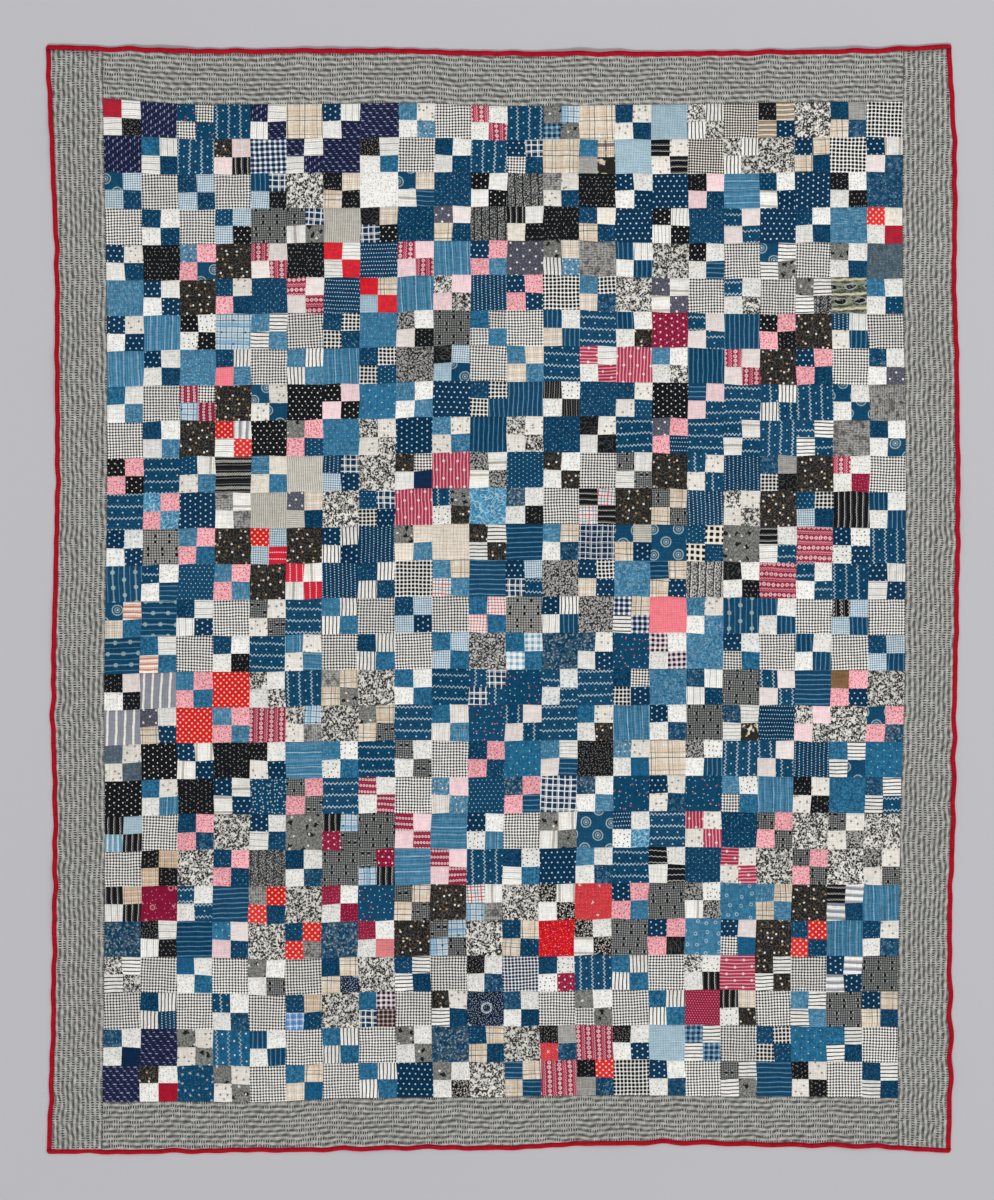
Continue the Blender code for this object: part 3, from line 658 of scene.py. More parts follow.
    "BP": ("navy_plaid", "cadet", grid("ink", 12.6, 7.8, 0.8), grid("white", 12.6, 1.9, 0.95, 6.3),
           grid("milk", 25.2, 1.2, 0.75, 3.2)),
    "BQ": ("navy_window_plaid", "teal", grid("ink", 11.6, 8.8, 0.8), grid("white", 11.6, 1.6, 0.85, 5.8),
           grid("frost", 23.2, 1.2, 0.4, 2.2)),
    # reds and pinks
    "R0": ("red_plain", "red", leaves("scarlet", 8, 0.5, 0.8, 3, 0.1)),
    "RK": ("deep_red_plain", "garnet", leaves("wine", 8, 0.56, 0.3, 3, 0.1)),
    "RP": ("red_white_dot", "scarlet", spots("milk", 6.6, 12.4, 3.55)),
    "RS": ("red_dotted_stripe", "red", lines("rose", 13.5, 1, 0.55, 3),
           spots("blush", 13.5, 4.6, 2.4, 0.8, start=(3, 0))),
    "RC": ("red_check", "white", grid("coral_red", 6.6, 1.7, 0.7), checks("red", 6.6, 2.4)),
    "RG": ("red_cream_sprig", "coral_red", strewn("cream", 31, 4.6, loose=0.9, share=0.7, ragged=1.4),
           strewn("blush", 7.4, 1.1, 0.5, loose=0.5, ragged=0), WORN),
    "RD": ("red_pin_dot", "red", leaves("scarlet", 9, 0.48, 0.9, 3, 0.1),
           strewn("blush", 6.6, 1.3, 0.5, loose=0.7, ragged=0),
           strewn("milk", 16, 1.9, 0.75, seed=2, loose=0.6, ragged=0), WORN),
    "RB": ("red_blue_plaid", "white", grid("red", 21, 2.6, 0.85), grid("teal", 21, 1.8, 0.85, 8),
           grid("umber", 21, 1.5, 0.85, 14)),
    "RN": ("navy_red_check", "white", grid("raspberry", 10.5, 5.4, 0.38), grid("slate", 10.5, 4, 0.25),
           checks("ink", 10.5, 6.2)),
    "RX": ("brown_red_plaid", "maroon", grid("milk", 9.4, 2, 0.5), grid("coal", 9.4, 2.6, 0.6, 4.7)),
    "CD": ("crimson_white_dot", "crimson", spots("milk", 12.4, 14.4, 3.5, 0.95, uneven=0.8),
           strewn("rose", 9, 1.8, 0.5, seed=4, loose=0.8), WORN),
    "CR": ("crimson_stripe_dot", "crimson", lines("rose", 7.2, 2.6, 0.8),
           lines("raspberry", 7.2, 1.8, 0.5, 3.6), spots("milk", 14.4, 36, 5.4, 0.9, start=(0, 6))),
    "CF": ("crimson_figured_stripe", "cerise", lines("blush", 21.5, 1.5, 0.7, 1.5, swing=1.5, wave=5.6),
           lines("rose", 21.5, 1.4, 0.6, -2.6, swing=1, wave=5.6),
           spots("blush", 21.5, 9.8, 8, 0.8, start=(10.7, 0), length=7, hollow=2.2, uneven=2.5),
           lines("blush", 21.5, 1.4, 0.6, 10.7)),
    "CW": ("crimson_white_chain", "crimson", spots("blush", 12.6, 6.4, 5.6, 0.85, length=5.2, hollow=1.7),
           lines("raspberry", 12.6, 1.4, 0.5, 6.3)),
    "C1": ("crimson_pin_dot", "crimson", strewn("rose", 6.6, 1.5, 0.55, loose=0.5, ragged=0), WORN),
    "CG": ("crimson_pale_flower", "crimson", leaves("wine", 5, 0.52, 0.35, 4, 0.08),
           strewn("blush", 9.5, 1.7, 0.6, loose=0.6, share=0.6, ragged=0),
           spots("rose", 40, 76, 12, 0.55, start=(24, 20), hollow=2.6),
           strewn("rose", 33, 6, 0.65, seed=5, loose=0.7, share=0.6, ragged=1.6)),
    "CC": ("crimson_fine_check", "crimson", spots("rose", 5, 5.8, 1.8, 0.65)),
    "PD": ("pink_red_speck", "rose", strewn("red", 6.4, 3, 0.75, seed=1, loose=0.85, ragged=1.1),
           strewn("red", 9.5, 2.2, 0.7, seed=4, loose=0.9, share=0.8, ragged=0.8),
           strewn("blush", 6.5, 2.8, 0.7, seed=6)),
    "PP": ("pink_plain", "pink", lines("blush", 5.6, 1.2, 0.4)),
    "PW": ("blush_line", "blush", lines("pink", 6.2, 1.6, 0.4)),
    "PG": ("blush_plaid", "blush", grid("rose", 15, 5, 0.24), grid("pink", 5, 1, 0.3)),
    "PC": ("coral_plain", "coral", grid("rose", 4.6, 1.3, 0.3)),
    "PS": ("salmon_plain", "salmon", leaves("coral", 6, 0.5, 0.45, 2, 0.1), grid("blush", 5.2, 1.2, 0.08)),
}

# The patch plan, row by row from the top left: 22 blocks a row. A block is one cotton for a plain
# square, or the four of a four-patch: upper left, upper right, lower left, lower right. Where the lower
# pair is the upper one turned round, only the upper one is written. A v or h at the end of a code says
# that the cloth's lines stand upright or lie level.
PLAN = (
    "RK/WL/WL/KP NDv IR/GC IZv ND/WL TP IP/WL/W0/ND NDh MB/CS/WS/MW GC CFv/WS IZv GMh/LP/BH/GM TP I0/CS "
    "SB FL/WPv GE KT/TS/TS/IP FL I0/PL/TP/IF GB",
    "NDv TE/WL/WL/I0 IZv KG/PG/PG/KSv BG ND/WL NDh KP/WL/WS/TE GC I0/WS/W0/IT IZv IP/BP/GC/IT TP "
    "MT/TX/PL/BY SB KSh/CS GE FL/WPv FL IP/TP/TP/I0 GB IP/WTv/PW/IF",
    "IC/LC/LC/IT GC IT/LC GC ILv/BP/LC/KT FL KT/TC/TP/KT WS IC/TC/WTh/ILh IT KW/W0 GL GF/CS/CS/IT KT "
    "IP/WS IP KT/PP/PP/IT MSh IT/WS/WTh/IP IP KT/WS IF",
    "GC IT/WS GC ID/LC/LC/KW GSv GS/BP/WTv/GM DSv K0/TC/BPv/KW IT GP/PW/TP/IT GLv KSv/W0/C0/KT KT "
    "IT/C0/TP/IT IP KW/WQv IT IZh/PW IP IT/WS/W0/I0 MB RP/C0/WS/RK",
    "IP/CS/W0/IT KT MW/PD/PD/IC KG CFv/PW KT R0/WQh IBh CFv/PP MSv IP/PD/PD/MB GP GM/TC/WPv/MW GF "
    "ILv/WLv/W0/ILv FL KW/WS/WS/IL GC IC/WPh/WPh/GM GC GM/WS/WS/I0 SL",
    "MB IP/W0/WS/IP KG IT/CS/PD/I0 IT CFh/PW IBh R0/TP/SB/R0 MSv FL/PP IBv IP/PD GB MB/GB/TC/IF FL GP/WTh "
    "GC IZh/WS/WS/FL GC GM/WPh/WPh/GL OGh MT/WS/WS/IR",
    "IP/CS/WS/IP MSv KW/WK LP MB/WPh GC IT/GB MT GT/WS/PW/KT GSv TE/GC/GC/MT GC ILv/WS/TC/ILv IZh "
    "ILv/WS/WS/KG CD IZh/PW ILv KW/PD/PD/KT KG IBv/WLv/CS/ILv GC",
    "MSv IP/W0/WS/I0 MG IT/WPv/PC/MB GC MB/WPv MSv IT/GB/GB/ID GT K0/LC/SB/IC GC MB/TC/TC/MF IZh "
    "CRh/WL/WS/CRh CRv MB/WS/WS/FL ILv CFv/PW KG IP/PD/PD/I0 GC IF/WS/WS/GP",
    "TE/W0/W0/MB GC CWv/GC/LP/CWv KG IC/CS KW KW/PP TD MB/WS IP IT/GB/GB/ILv ILv KBv/WK/WS/KBv IT "
    "IT/CS/CS/ID KW ILh/PP/PP/IZh IZh IZv/WPv IZv IC/WS GFh",
    "GC I0/WS/W0/MF KG RP/WGv/WL/RP KW GM/PD/PD/ID MT FL/CS IP MF/CS ILv FL/CS IT K0/CS/W0/K0 IZh "
    "GP/PD/PD/IBh IZh IZh/WTh IZv IZh/WPh GF I0/WS/WS/IC",
    "KW/PD IZh ID/WT/CS/MB KXh MB/C0/C0/MT DSv IBv/BP/LC/IP FL KG/GC/W0/N0 CRv GT/WTh ID KG/WS GC "
    "GS/W0/WLh/GS KG IZv/CS IBv IF/PL/GB/K0 KG CFv/WS/WS/C1 GC",
    "IZh SC/PD IP GF/WTh/W0/GF DSv GP/TC/DS/I0 FL ID/BP/GB/IP CRv IZv/GM/WK/KG SC IG/WS/WS/KT GC KSh/RB "
    "KG GS/TP IBv FL/CS KG ID/GB/LC/I0 KSv ILv/WS",
    "IP/WB GD MB/PD/PD/TE KG RP/LC/LC/RSh KG IP/WPv IBv GM/TW/TW/MB TW KG/WPh ILh MB/TP/WS/IF BQ "
    "IC/DS/TP/IP IC ID/KD/KD/IT GM KSh/WS/WL/IZh CFh IP/WK IZv",
    "IYv IZh/WS/WS/ILh ID MB/PD KG RSv/WTv IBv IT/WPv GB MB/TP/RB/MB ILh IP/LC/BP/IZh GT IP/GB/TC/IP MF "
    "IL/TP/TP/IP GVv K0/WS/WS/KT CFh IZh/WS IZv IP/WL",
    "IC/ROh/TC/TE IYh IT/WL/WL/IP GC GS/CS IZh MT/WPv GC IT/LC/LC/IP GC TE/RC GD IP/WPv/WLv/ILv GT "
    "BG/TP/WPh/BG PC MF/CS/WS/MF IYv ILv/WS GC KFv/LC/LC/ILv GC",
    "IYh TE/WL/ROh/TE GC IT/WS/WS/KT IZh MSv/CS/CS/MSh GC I0/WPv/WPv/TE GC TE/LC GR TE/LG IG IG/CS/W0/IP "
    "IR RN/WS MF IP/WB/GC/TE GC ILv/WS GC IT/LC/LC/ILv",
    "KT/PW/WS/KT GWv MT/PD/PD/TE RP FL/WS IZv GF/TP/TP/GM FL TE/WS IZh IZv/BP IR IZh/WB IZh I0/GC/GB/IP "
    "MF IF/WLv/WLv/IT GSv IZv/PW ILh BN/PD/PD/IP FL",
    "GWv GP/W0/TP/IP RP MB/PD CFv FL/LP/CS/GF FL GM/TP/TP/GS IZh TE/WOv/WOv/MB IR IZv/PW IZh TE/CS/WS/KG "
    "MSv IP/WS/WS/IF GSv IG/WQh/WQh/BY IBh FL/PP FL IC/PD/PD/IG",
    "SL/CS KW IP/WTv KT KT/WS/CS/IP MSh MT/WK/WK/TE IZh GS/WS GC IT/PD TD MG/WQh/PW/ILh KP MW/CS/WS/T0 TP "
    "GT/WK/WS/ILv IZv IZv/PW IBv TE/WPh/WPh/IC TD",
    "KW TE/CS/WS/MS KT IP/WTh IN GS/PD IZh CWh/WS GC MW/PP/WOv/MW ID IG/PD/PD/ILh BP IG/WS/WS/MB IR "
    "IP/CS/CS/IF IR MB/WK/GC/TE MSv KT/CS TE IF/WPh/WPh/IZh",
    "KSv/SB/LWv/KSv GC I0/PD/PD/IF FL IP/WS/WL/IT GM KSv/LP/CD/GS GSv CWh/PP MSh IP/WS/WK/MSv GC GM/WTv "
    "IC IBh/WS/WK/SC IZh CRv/CS IT GS/PD FL GS/CS/CS/GT FL",
    "GC KT/TBh FL IT/PD GL I0/WS/WS/IF GSv GS/CD/LP/KSv MSh CWh/PP IZv I0/WK/WL/TE IP MB/WS/WS/IF IZh "
    "KZh/WS/WX/KZh IT CRh/CS FL GS/PD FL GT/CS/CS/GS",
    "KSv/TBh/WL/KSv CG IZh/WS ILh GF/RP/RP/I0 FL C1/WS IR GS/TP KG RB/WT/LP/GF FL GK/WTv/W0/GK RG "
    "IP/PD/PD/MT GSv GT/WK/WTv/GT MO MB/TP KG KSh/WGh/WGh/I0 MSv",
    "IG KP/WL/WL/KT ILh TD/PWh/PP/IT FL IT/RP/RP/GF IG C1/WS/WS/PS KG GS/LP FL IT/TP RD GK/WS/WTh/GK GSv "
    "IP/PD/PD/K0 MO IP/PW/GC/T0 KG IT/RP MSv IT/CS/WS/IF",
    "FL/WPh GC T0/WS/WS/TE GC GM/WS/WS/GS GC I0/TP/TP/IS FL IT/WPh/WPh/I0 GC KP/WS/WS/IF BS I0/WK/WK/CD "
    "IZv TE/WPv GC FL/WK/WS/KSv CRh KG/WPh GC IP/WGh GSv",
    "GC I0/WPv/WPv/IBv GC IZv/WS/WS/IF GC IT/TBh/BW/IT FL TE/RN/BP/RX GC KG/CS/WPh/I0 IS IF/WS/WS/I0 GC "
    "GM/WS/GC/GM GC TE/WPv CC KSv/TC/WK/KG GC MB/WPh GSv IP/TP/TP/I0",
    "IF/WS/WS/N0 NDh GM/CS MZv ILv/WS GC TE/WPv GC GM/WS IG IT/TP/TP/I0 FL KP/PL/RG/IF CFv KP/WS/WS/IP SB "
    "BH/WPh GC IT/GB TD TE/WPh/WPh/I0 GC",
    "NDh KG/WS/WS/RK IJ GM/CS GC TE/TP/TC/T0 GC TE/WPv IP GM/WS/WS/GK FL ILh/TP CFv KT/RP/PL/IF GB "
    "IP/WS/WS/IF GC GS/WPh/WPh/GM ILh KT/CS GC I0/WPh",
)


# ---- The quilt's lines, as in the solids ----
def smooth_between(values, share):
    """The value at share, from 0 to 1, on a Catmull-Rom curve through evenly spaced values."""
    place = min(max(share, 0.0), 1.0) * (len(values) - 1)
    first = min(int(place), len(values) - 2)
    step = place - first
    near = [values[min(max(first + k, 0), len(values) - 1)] for k in (-1, 0, 1, 2)]
    bend = 2 * near[0] - 5 * near[1] + 4 * near[2] - near[3]
    twist = 3 * near[1] - near[0] - 3 * near[2] + near[3]
    return near[1] + 0.5 * step * (near[2] - near[0] + step * (bend + step * twist))


def on_edge(edges, side, share):
    """The point of an edge at this share of its length."""
    start, end, bows = edges[side]
    straight = Vector(start).lerp(Vector(end), share)
    return straight + OUTWARDS[side] * smooth_between(bows, share) / MILLIMETRES


def axis_of(side):
    """The axis that a side runs along: 0 for x and 1 for y."""
    return 0 if side in ("top", "bottom") else 1


def share_along(edges, side, place):
    """Where on an edge a point with this x, on the top and bottom, or this y, on the sides, lies."""
    start, end, _ = edges[side]
    axis = axis_of(side)
    return (place - start[axis]) / (end[axis] - start[axis])


def edge_beside(side, point, inset):
    """The outline's point straight outwards of a point, moved back inwards by inset."""
    axis = axis_of(side)
    met = on_edge(OUTLINE, side, share_along(OUTLINE, side, point[axis])) - OUTWARDS[side] * inset
    met[axis] = point[axis]
    return met


def ripple_lift(side, share, across):
    """Height of the underside on a ripple; across is 0 at the border's seam and 1 at the outer edge."""
    start, end, _ = OUTLINE[side]
    length = (Vector(end) - Vector(start)).length
    lift = 0.0
    for middle, half_width, height in RIPPLES[side]:
        away = abs(share - middle) * length / half_width
        if away < 1:
            lift = max(lift, height * math.cos(away * math.pi / 2) ** 2)
    return RIPPLE_LIFT * lift * across ** 2


def middle_point(across, down):
    """A point of the middle from its shares of the way across and down, between its four edges."""
    top = on_edge(MIDDLE, "top", across)
    bottom = on_edge(MIDDLE, "bottom", across)
    left = on_edge(MIDDLE, "left", down)
    right = on_edge(MIDDLE, "right", down)
    corners = [Vector(MIDDLE[side][end]) for side in ("top", "bottom") for end in (0, 1)]
    upper = corners[0].lerp(corners[1], across)
    lower = corners[2].lerp(corners[3], across)
    return top.lerp(bottom, down) + left.lerp(right, across) - upper.lerp(lower, down)


def read_between(table, across, down):
    """A value from a table of even rows, at these shares of the way across and down."""
    return smooth_between([smooth_between(line, across) for line in table], down)


def edge_waver(side, place):
    """How far outwards the bound edge lies of its line at this x or y."""
    start, end, _ = OUTLINE[side]
    axis = axis_of(side)
    from_end = min(abs(place - start[axis]), abs(place - end[axis]))
    at = Vector((place / WAVER_LENGTH, WAVER_ROWS * list(OUTWARDS).index(side), WAVER_DEPTH))
    return EDGE_WAVER * min(from_end / WAVER_FADE, 1.0) * noise.noise(at)


def seam_crossings():
    """The points where seams of the middle cross, by half-square: [column][row], from the top left."""
    chance = random.Random(WANDER_SEED)
    points = []
    for i in range(2 * COLUMNS + 1):
        column = []
        for j in range(2 * ROWS + 1):
            even = i / (2 * COLUMNS)
            down = j / (2 * ROWS)
            bell = math.exp(-(((even - 0.5) / DRIFT_SPREAD) ** 2))
            left_bell = math.exp(-((even / DRIFT_SPREAD) ** 2))
            climb = (ROW_DRIFT_MIDDLE * bell + ROW_DRIFT_LEFT * left_bell) * math.sin(math.pi * down)
            across = even + COLUMN_DRIFT * math.sin(math.pi * even)
            right = read_between(SEAMS_RIGHT, even, down) / MILLIMETRES
            up = read_between(SEAMS_UP, even, down) / MILLIMETRES
            point = middle_point(across + right / MIDDLE_WIDTH, down - climb - up / MIDDLE_HEIGHT)
            wander = Vector((chance.uniform(-1, 1), chance.uniform(-1, 1))) * SEAM_WANDER
            if 0 < i < 2 * COLUMNS and 0 < j < 2 * ROWS:
                point += wander
            column.append(point)
        points.append(column)
    return points


def side_line(side, crossings):
    """The seam's points along one side of the middle, in order, as the border strip meets them."""
    if side in ("left", "right"):
        return crossings[0 if side == "left" else -1]
    return [column[0 if side == "top" else -1] for column in crossings]


def strip_lines(side, crossings):
    """The border strip's seam line and outer line, with as many points each."""
    inset = BINDING_WIDTH + GAP
    seam = [point + OUTWARDS[side] * GAP for point in side_line(side, crossings)]
    outer = [edge_beside(side, point, inset) for point in seam]
    if side in ("left", "right"):
        for line in (seam, outer):
            line.insert(0, edge_beside("top", line[0], inset))
            line.append(edge_beside("bottom", line[-1], inset))
        for end in (0, -1):
            outer[end] = edge_beside(side, outer[end], inset)
    return seam, outer


def finer(line, steps):
    """The line with each of its stretches divided into this many."""
    points = []
    for near, far in zip(line, line[1:]):
        points += [near.lerp(far, k / steps) for k in range(steps)]
    return points + [line[-1]]


# ---- The patchwork ----
def blocks():
    """For each half-square [i][j]: its patch's first half-square, size in half-squares and code."""
    found = [[None] * (2 * ROWS) for _ in range(2 * COLUMNS)]
    for row, line in enumerate(PLAN):
        for column, block in enumerate(line.split()):
            codes = block.split("/")
            if len(codes) == 2:
                codes += codes[::-1]
            for k in range(4):
                i, j = 2 * column + k % 2, 2 * row + k // 2
                if len(codes) == 1:
                    found[i][j] = ((2 * column, 2 * row), 2, codes[0])
                else:
                    found[i][j] = ((i, j), 1, codes[k])
    return found


def cut_of(code, chance):
    """How a patch is cut: the turn of its threads, its place on the cloth, its fading and its puff."""
    lying = {"v": 0, "h": 1}.get(code[2:], chance.randrange(2))
    turn = lying * math.pi / 2 + chance.uniform(-1, 1) * CUT_TILT
    place = Vector((chance.uniform(-CUT_REACH, CUT_REACH), chance.uniform(-CUT_REACH, CUT_REACH)))
    return turn, place, chance.uniform(-1, 1), chance.uniform(*PUFF_SPREAD)


def rise_from(distance):
    """Share of a patch's puff at this distance from a seam."""
    return 1 - math.exp(-distance / SEAM_SLOPE)


def pressed_at(distance):
    """Share of the seam allowance's ridge at this distance from a seam, on its pressed side."""
    return math.exp(-((distance / PRESSED_WIDTH - 0.5) ** 2) * PRESSED_FALL)


def pucker_at(x, y):
    """Small unevenness of the cloth, from about -1 to 1."""
    place = Vector((x, y, 0)) / PUCKER_LENGTH
    fine = noise.noise(place * FINE_PUCKER + FINE_PUCKER_START)
    return noise.noise(place) + FINE_PUCKER_SHARE * fine


def share_of(value, low, high):
    """How far value has come from low to high, from 0 to 1."""
    return min(max((value - low) / (high - low), 0.0), 1.0)


def laid_out(across, along, band):
    """A place on the bake map from a place in one of its bands, given as shares of the band."""
    return BAKE_MARGIN + (1 - 2 * BAKE_MARGIN) * across, band[0] + (band[1] - band[0]) * along


def rim_of(wide, tall):
    """The outer points of a grid of wide by tall points, in order round it from its first."""
    rim = list(range(wide))
    rim += [k * wide + wide - 1 for k in range(1, tall)]
    rim += [(tall - 1) * wide + k for k in range(wide - 2, -1, -1)]
    return rim + [k * wide for k in range(tall - 2, 0, -1)]


def rim_shares(count):
    """Where the corners of each of the rim's walls lie in the rim's band."""
    return [[(k / count, 1), ((k + 1) / count, 1), ((k + 1) / count, 0), (k / count, 0)]
            for k in range(count)]


def new_piece(name, points, faces, materials, slots, cuts, spread, fades):
    """A piece from its points and faces. Each face has a material slot and a share of fading, and each
    of its corners a place on the cut cloth, in cuts, and on the bake map, in spread."""
    mesh = bpy.data.meshes.new(name)
    mesh.from_pydata(points, [], faces)
    for material in materials:
        mesh.materials.append(material)
    mesh.polygons.foreach_set("material_index", slots)
    mesh.polygons.foreach_set("use_smooth", [True] * len(faces))
    for map_name, corners in ((CUT_MAP, cuts), (BAKE_MAP, spread)):
        uv_map = mesh.uv_layers.new(name=map_name)
        uv_map.uv.foreach_set("vector", [value for corner in corners for value in corner])
    fading = mesh.attributes.new("fade", "FLOAT", "FACE")
    fading.data.foreach_set("value", fades)
    mesh.validate()
    piece = bpy.data.objects.new(name, mesh)
    bpy.context.scene.collection.objects.link(piece)
    return piece


def point_on_cloth(a, b, crossings, plan, cuts):
    """The point at mesh line a across and b down, on top of the quilt."""
    steps = len(STATIONS)
    i = min(a // steps, 2 * COLUMNS - 1)
    j = min(b // steps, 2 * ROWS - 1)
    s = 1.0 if a == MESH_LINES else STATIONS[a % steps]
    t = 1.0 if b // steps > j else STATIONS[b % steps]
    upper = crossings[i][j].lerp(crossings[i + 1][j], s)
    lower = crossings[i][j + 1].lerp(crossings[i + 1][j + 1], s)
    x, y = upper.lerp(lower, t)
    (first_i, first_j), size, _ = plan[i][j]
    half = SQUARE_SIDE / 2
    left, right = (i + s - first_i) * half, (first_i + size - i - s) * half
    above, below = (j + t - first_j) * half, (first_j + size - j - t) * half
    *_, plump = cuts[first_i, first_j]
    full = rise_from(left) * rise_from(right) * rise_from(above) * rise_from(below)
    puff = (SQUARE_PUFF if size == 2 else PATCH_PUFF) * plump * full
    ridge = PRESSED_RIDGE * (pressed_at(left) + pressed_at(above)) * min(1, full * PRESSED_GROWTH)
    uneven = PUCKER * pucker_at(x, y) * min(1.0, full * PUCKER_GROWTH)
    return x, y, SEAM_THICKNESS + puff + ridge + uneven


def make_rows(first_row, crossings, plan, cuts, cottons, backing):
    """One strip of the pieced middle: its patches, the rim round them and a plain underside."""
    steps = len(STATIONS)
    top = 2 * first_row * steps
    tall = 2 * ROWS_IN_STRIP * steps
    wide = MESH_LINES + 1
    points = [point_on_cloth(a, top + b, crossings, plan, cuts)
              for b in range(tall + 1) for a in range(wide)]
    last_row = first_row + ROWS_IN_STRIP
    codes = sorted({code[:2] for column in plan for _, _, code in column[2 * first_row:2 * last_row]})
    slot_of = {code: k for k, code in enumerate(codes)}

    # The left and right halves of the strip have a band each on the bake map.
    half = MESH_LINES // 2
    halves = [[point[0] for k, point in enumerate(points) if low <= k % wide <= low + half]
              for low in (0, half)]
    ends = [(min(values), max(values)) for values in halves]
    lowest, highest = min(point[1] for point in points), max(point[1] for point in points)

    faces, slots, cut_places, spread, fades = [], [], [], [], []
    for b in range(tall):
        for a in range(MESH_LINES):
            key, _, code = plan[a // steps][(top + b) // steps]
            turn, place, fade, _ = cuts[key]
            corner = b * wide + a
            ring = (corner, corner + wide, corner + wide + 1, corner + 1)
            faces.append(ring)
            slots.append(slot_of[code[:2]])
            fades.append(fade)
            cos, sin = math.cos(turn), math.sin(turn)
            for x, y, _ in (points[k] for k in ring):
                across = share_of(x, *ends[a // half])
                spread.append(laid_out(across, share_of(y, lowest, highest), HALF_BANDS[a // half]))
                cut_places.append((x * cos + y * sin + place.x, y * cos - x * sin + place.y))

    rim = rim_of(wide, tall + 1)
    count = len(rim)
    low = len(points)
    points += [(points[k][0], points[k][1], 0.0) for k in rim]
    for k, corners in enumerate(rim_shares(count)):
        after = (k + 1) % count
        faces.append((rim[k], rim[after], low + after, low + k))
        spread += [laid_out(*share, WALL_BAND) for share in corners]
    under = tuple(range(low, low + count))
    faces.append(under)
    for x, y, _ in (points[k] for k in under):
        across = share_of(x, ends[0][0], ends[1][1])
        spread.append(laid_out(across, share_of(y, lowest, highest), UNDER_BAND))
    for face in faces[-count - 1:]:
        slots.append(len(codes))
        fades.append(0.0)
        cut_places += [points[k][:2] for k in face]

    materials = [cottons[code] for code in codes] + [backing]
    name = f"patchwork_rows_{first_row + 1:02d}_{last_row:02d}"
    piece = new_piece(name, points, faces, materials, slots, cut_places, spread, fades)
    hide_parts("patchwork")
    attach(piece, "root")
    return piece


def make_patchwork(crossings, cottons, backing):
    """The pieced middle, in strips of whole rows that lie edge to edge."""
    chance = random.Random(CHANCE_SEED)
    plan = blocks()
    cuts = {}
    for column in plan:
        for key, _, code in column:
            if key not in cuts:
                cuts[key] = cut_of(code, chance)
    return [make_rows(first_row, crossings, plan, cuts, cottons, backing)
            for first_row in range(0, ROWS, ROWS_IN_STRIP)]


# ---- Border and binding ----
# The border's print, in millimetres.
DASH_ROW = 10.4               # between the rows of dashes
DASH_STEP = 22.0              # from one dash to the next
DASH_LENGTH, DASH_WIDTH, DASH_SOFT = 19.0, 4.8, 0.9
DASH_RAGGED = 1.6             # how far a dash's edge may be eaten away
DASH_DRIFT = 7                # how far the rows wander to either side
DASH_DRIFT_LENGTH = 90
HATCH_STEP = 5.0              # between the fine strokes across some of the dashes
HATCH_REACH = 3.4             # from the middle of a dash's row to the ends of the strokes
STROKE_WIDTH, STROKE_GAP = 1.6, 1.8
PALE_WIDTH = 3.6              # of the pale lines
PALE_WAVE = 1.1               # how far they wave to either side
DOT_STEP, DOT_WIDTH = 3.4, 1.8        # of the dots that they are made up of


def border_cloth():
    """Grey print: rows of long dark dashes, some of them hatched, with wavy pale lines between."""
    cloth = Cloth("border_dash_print", "stone", wave=1.5, wave_length=30)
    slow = {"Vector": cloth.place, "Scale": 1 / DASH_DRIFT_LENGTH, "Detail": 1.0}
    slow = cloth.add("TexNoise", slow).outputs["Fac"]
    drift = cloth.calc("MULTIPLY_ADD", slow, 2 * DASH_DRIFT, -DASH_DRIFT)
    cloth.along = cloth.calc("ADD", cloth.along, drift)
    cloth.dyed("ash", cloth.near(cloth.noise(14, seed=4), 0.47, strength=0.5, soft=0.08))

    place = cloth.staggered(cloth.across, DASH_STEP, cloth.along, DASH_ROW)
    flattened = cloth.calc("MULTIPLY", cloth.off_line(place, DASH_STEP), DASH_WIDTH / DASH_LENGTH)
    distance = cloth.off_centre(flattened, cloth.off_line(cloth.along, DASH_ROW))
    distance = cloth.calc("MULTIPLY_ADD", cloth.noise(4, seed=3), DASH_RAGGED, distance)
    reach = (DASH_RAGGED + DASH_WIDTH) / 2
    cloth.dyed("smoke", cloth.near(distance, reach, strength=0.8, soft=DASH_SOFT))

    hatched = cloth.near(cloth.noise(17, detail=0, seed=5), 0.5, soft=0.02)
    inked = cloth.near(cloth.off_line(cloth.along, DASH_ROW), HATCH_REACH, soft=0.6)
    gaps = cloth.striped(cloth.across, HATCH_STEP, STROKE_GAP, 0.75, HATCH_STEP / 2)
    cloth.dyed("pearl", cloth.both(gaps, inked, hatched))
    strokes = cloth.striped(cloth.across, HATCH_STEP, STROKE_WIDTH, 0.8)
    cloth.dyed("coal", cloth.both(strokes, inked, hatched))

    wave = cloth.calc("SINE", cloth.calc("MULTIPLY", place, math.tau / DASH_STEP))
    wave = cloth.calc("MULTIPLY_ADD", wave, PALE_WAVE, cloth.along)
    pale = cloth.near(cloth.off_line(wave, DASH_ROW, DASH_ROW / 2), PALE_WIDTH / 2, 0.9, soft=0.7)
    dotted = cloth.near(cloth.off_line(cloth.across, DOT_STEP), DOT_WIDTH / 2, 0.5, soft=0.5)
    cloth.dyed("chalk", cloth.both(pale, cloth.calc("ADD", dotted, 0.5)))
    return cloth.finish(slub=1.0, crinkle=0.8)


def binding_cloth():
    """Plain red cotton, darker in places where it has worn less."""
    cloth = Cloth("binding_red_cotton", "blood", wave=0.6)
    cloth.dyed("wine", cloth.near(cloth.noise(5, detail=2, seed=1), 0.42, strength=0.35, soft=0.1))
    return cloth.finish(slub=0.9, roughness=0.85, crinkle=0.9)


def runs_along(line):
    """How far along the line each of its points lies."""
    runs = [0.0]
    for near, far in zip(line, line[1:]):
        runs.append(runs[-1] + (far - near).length)
    return runs


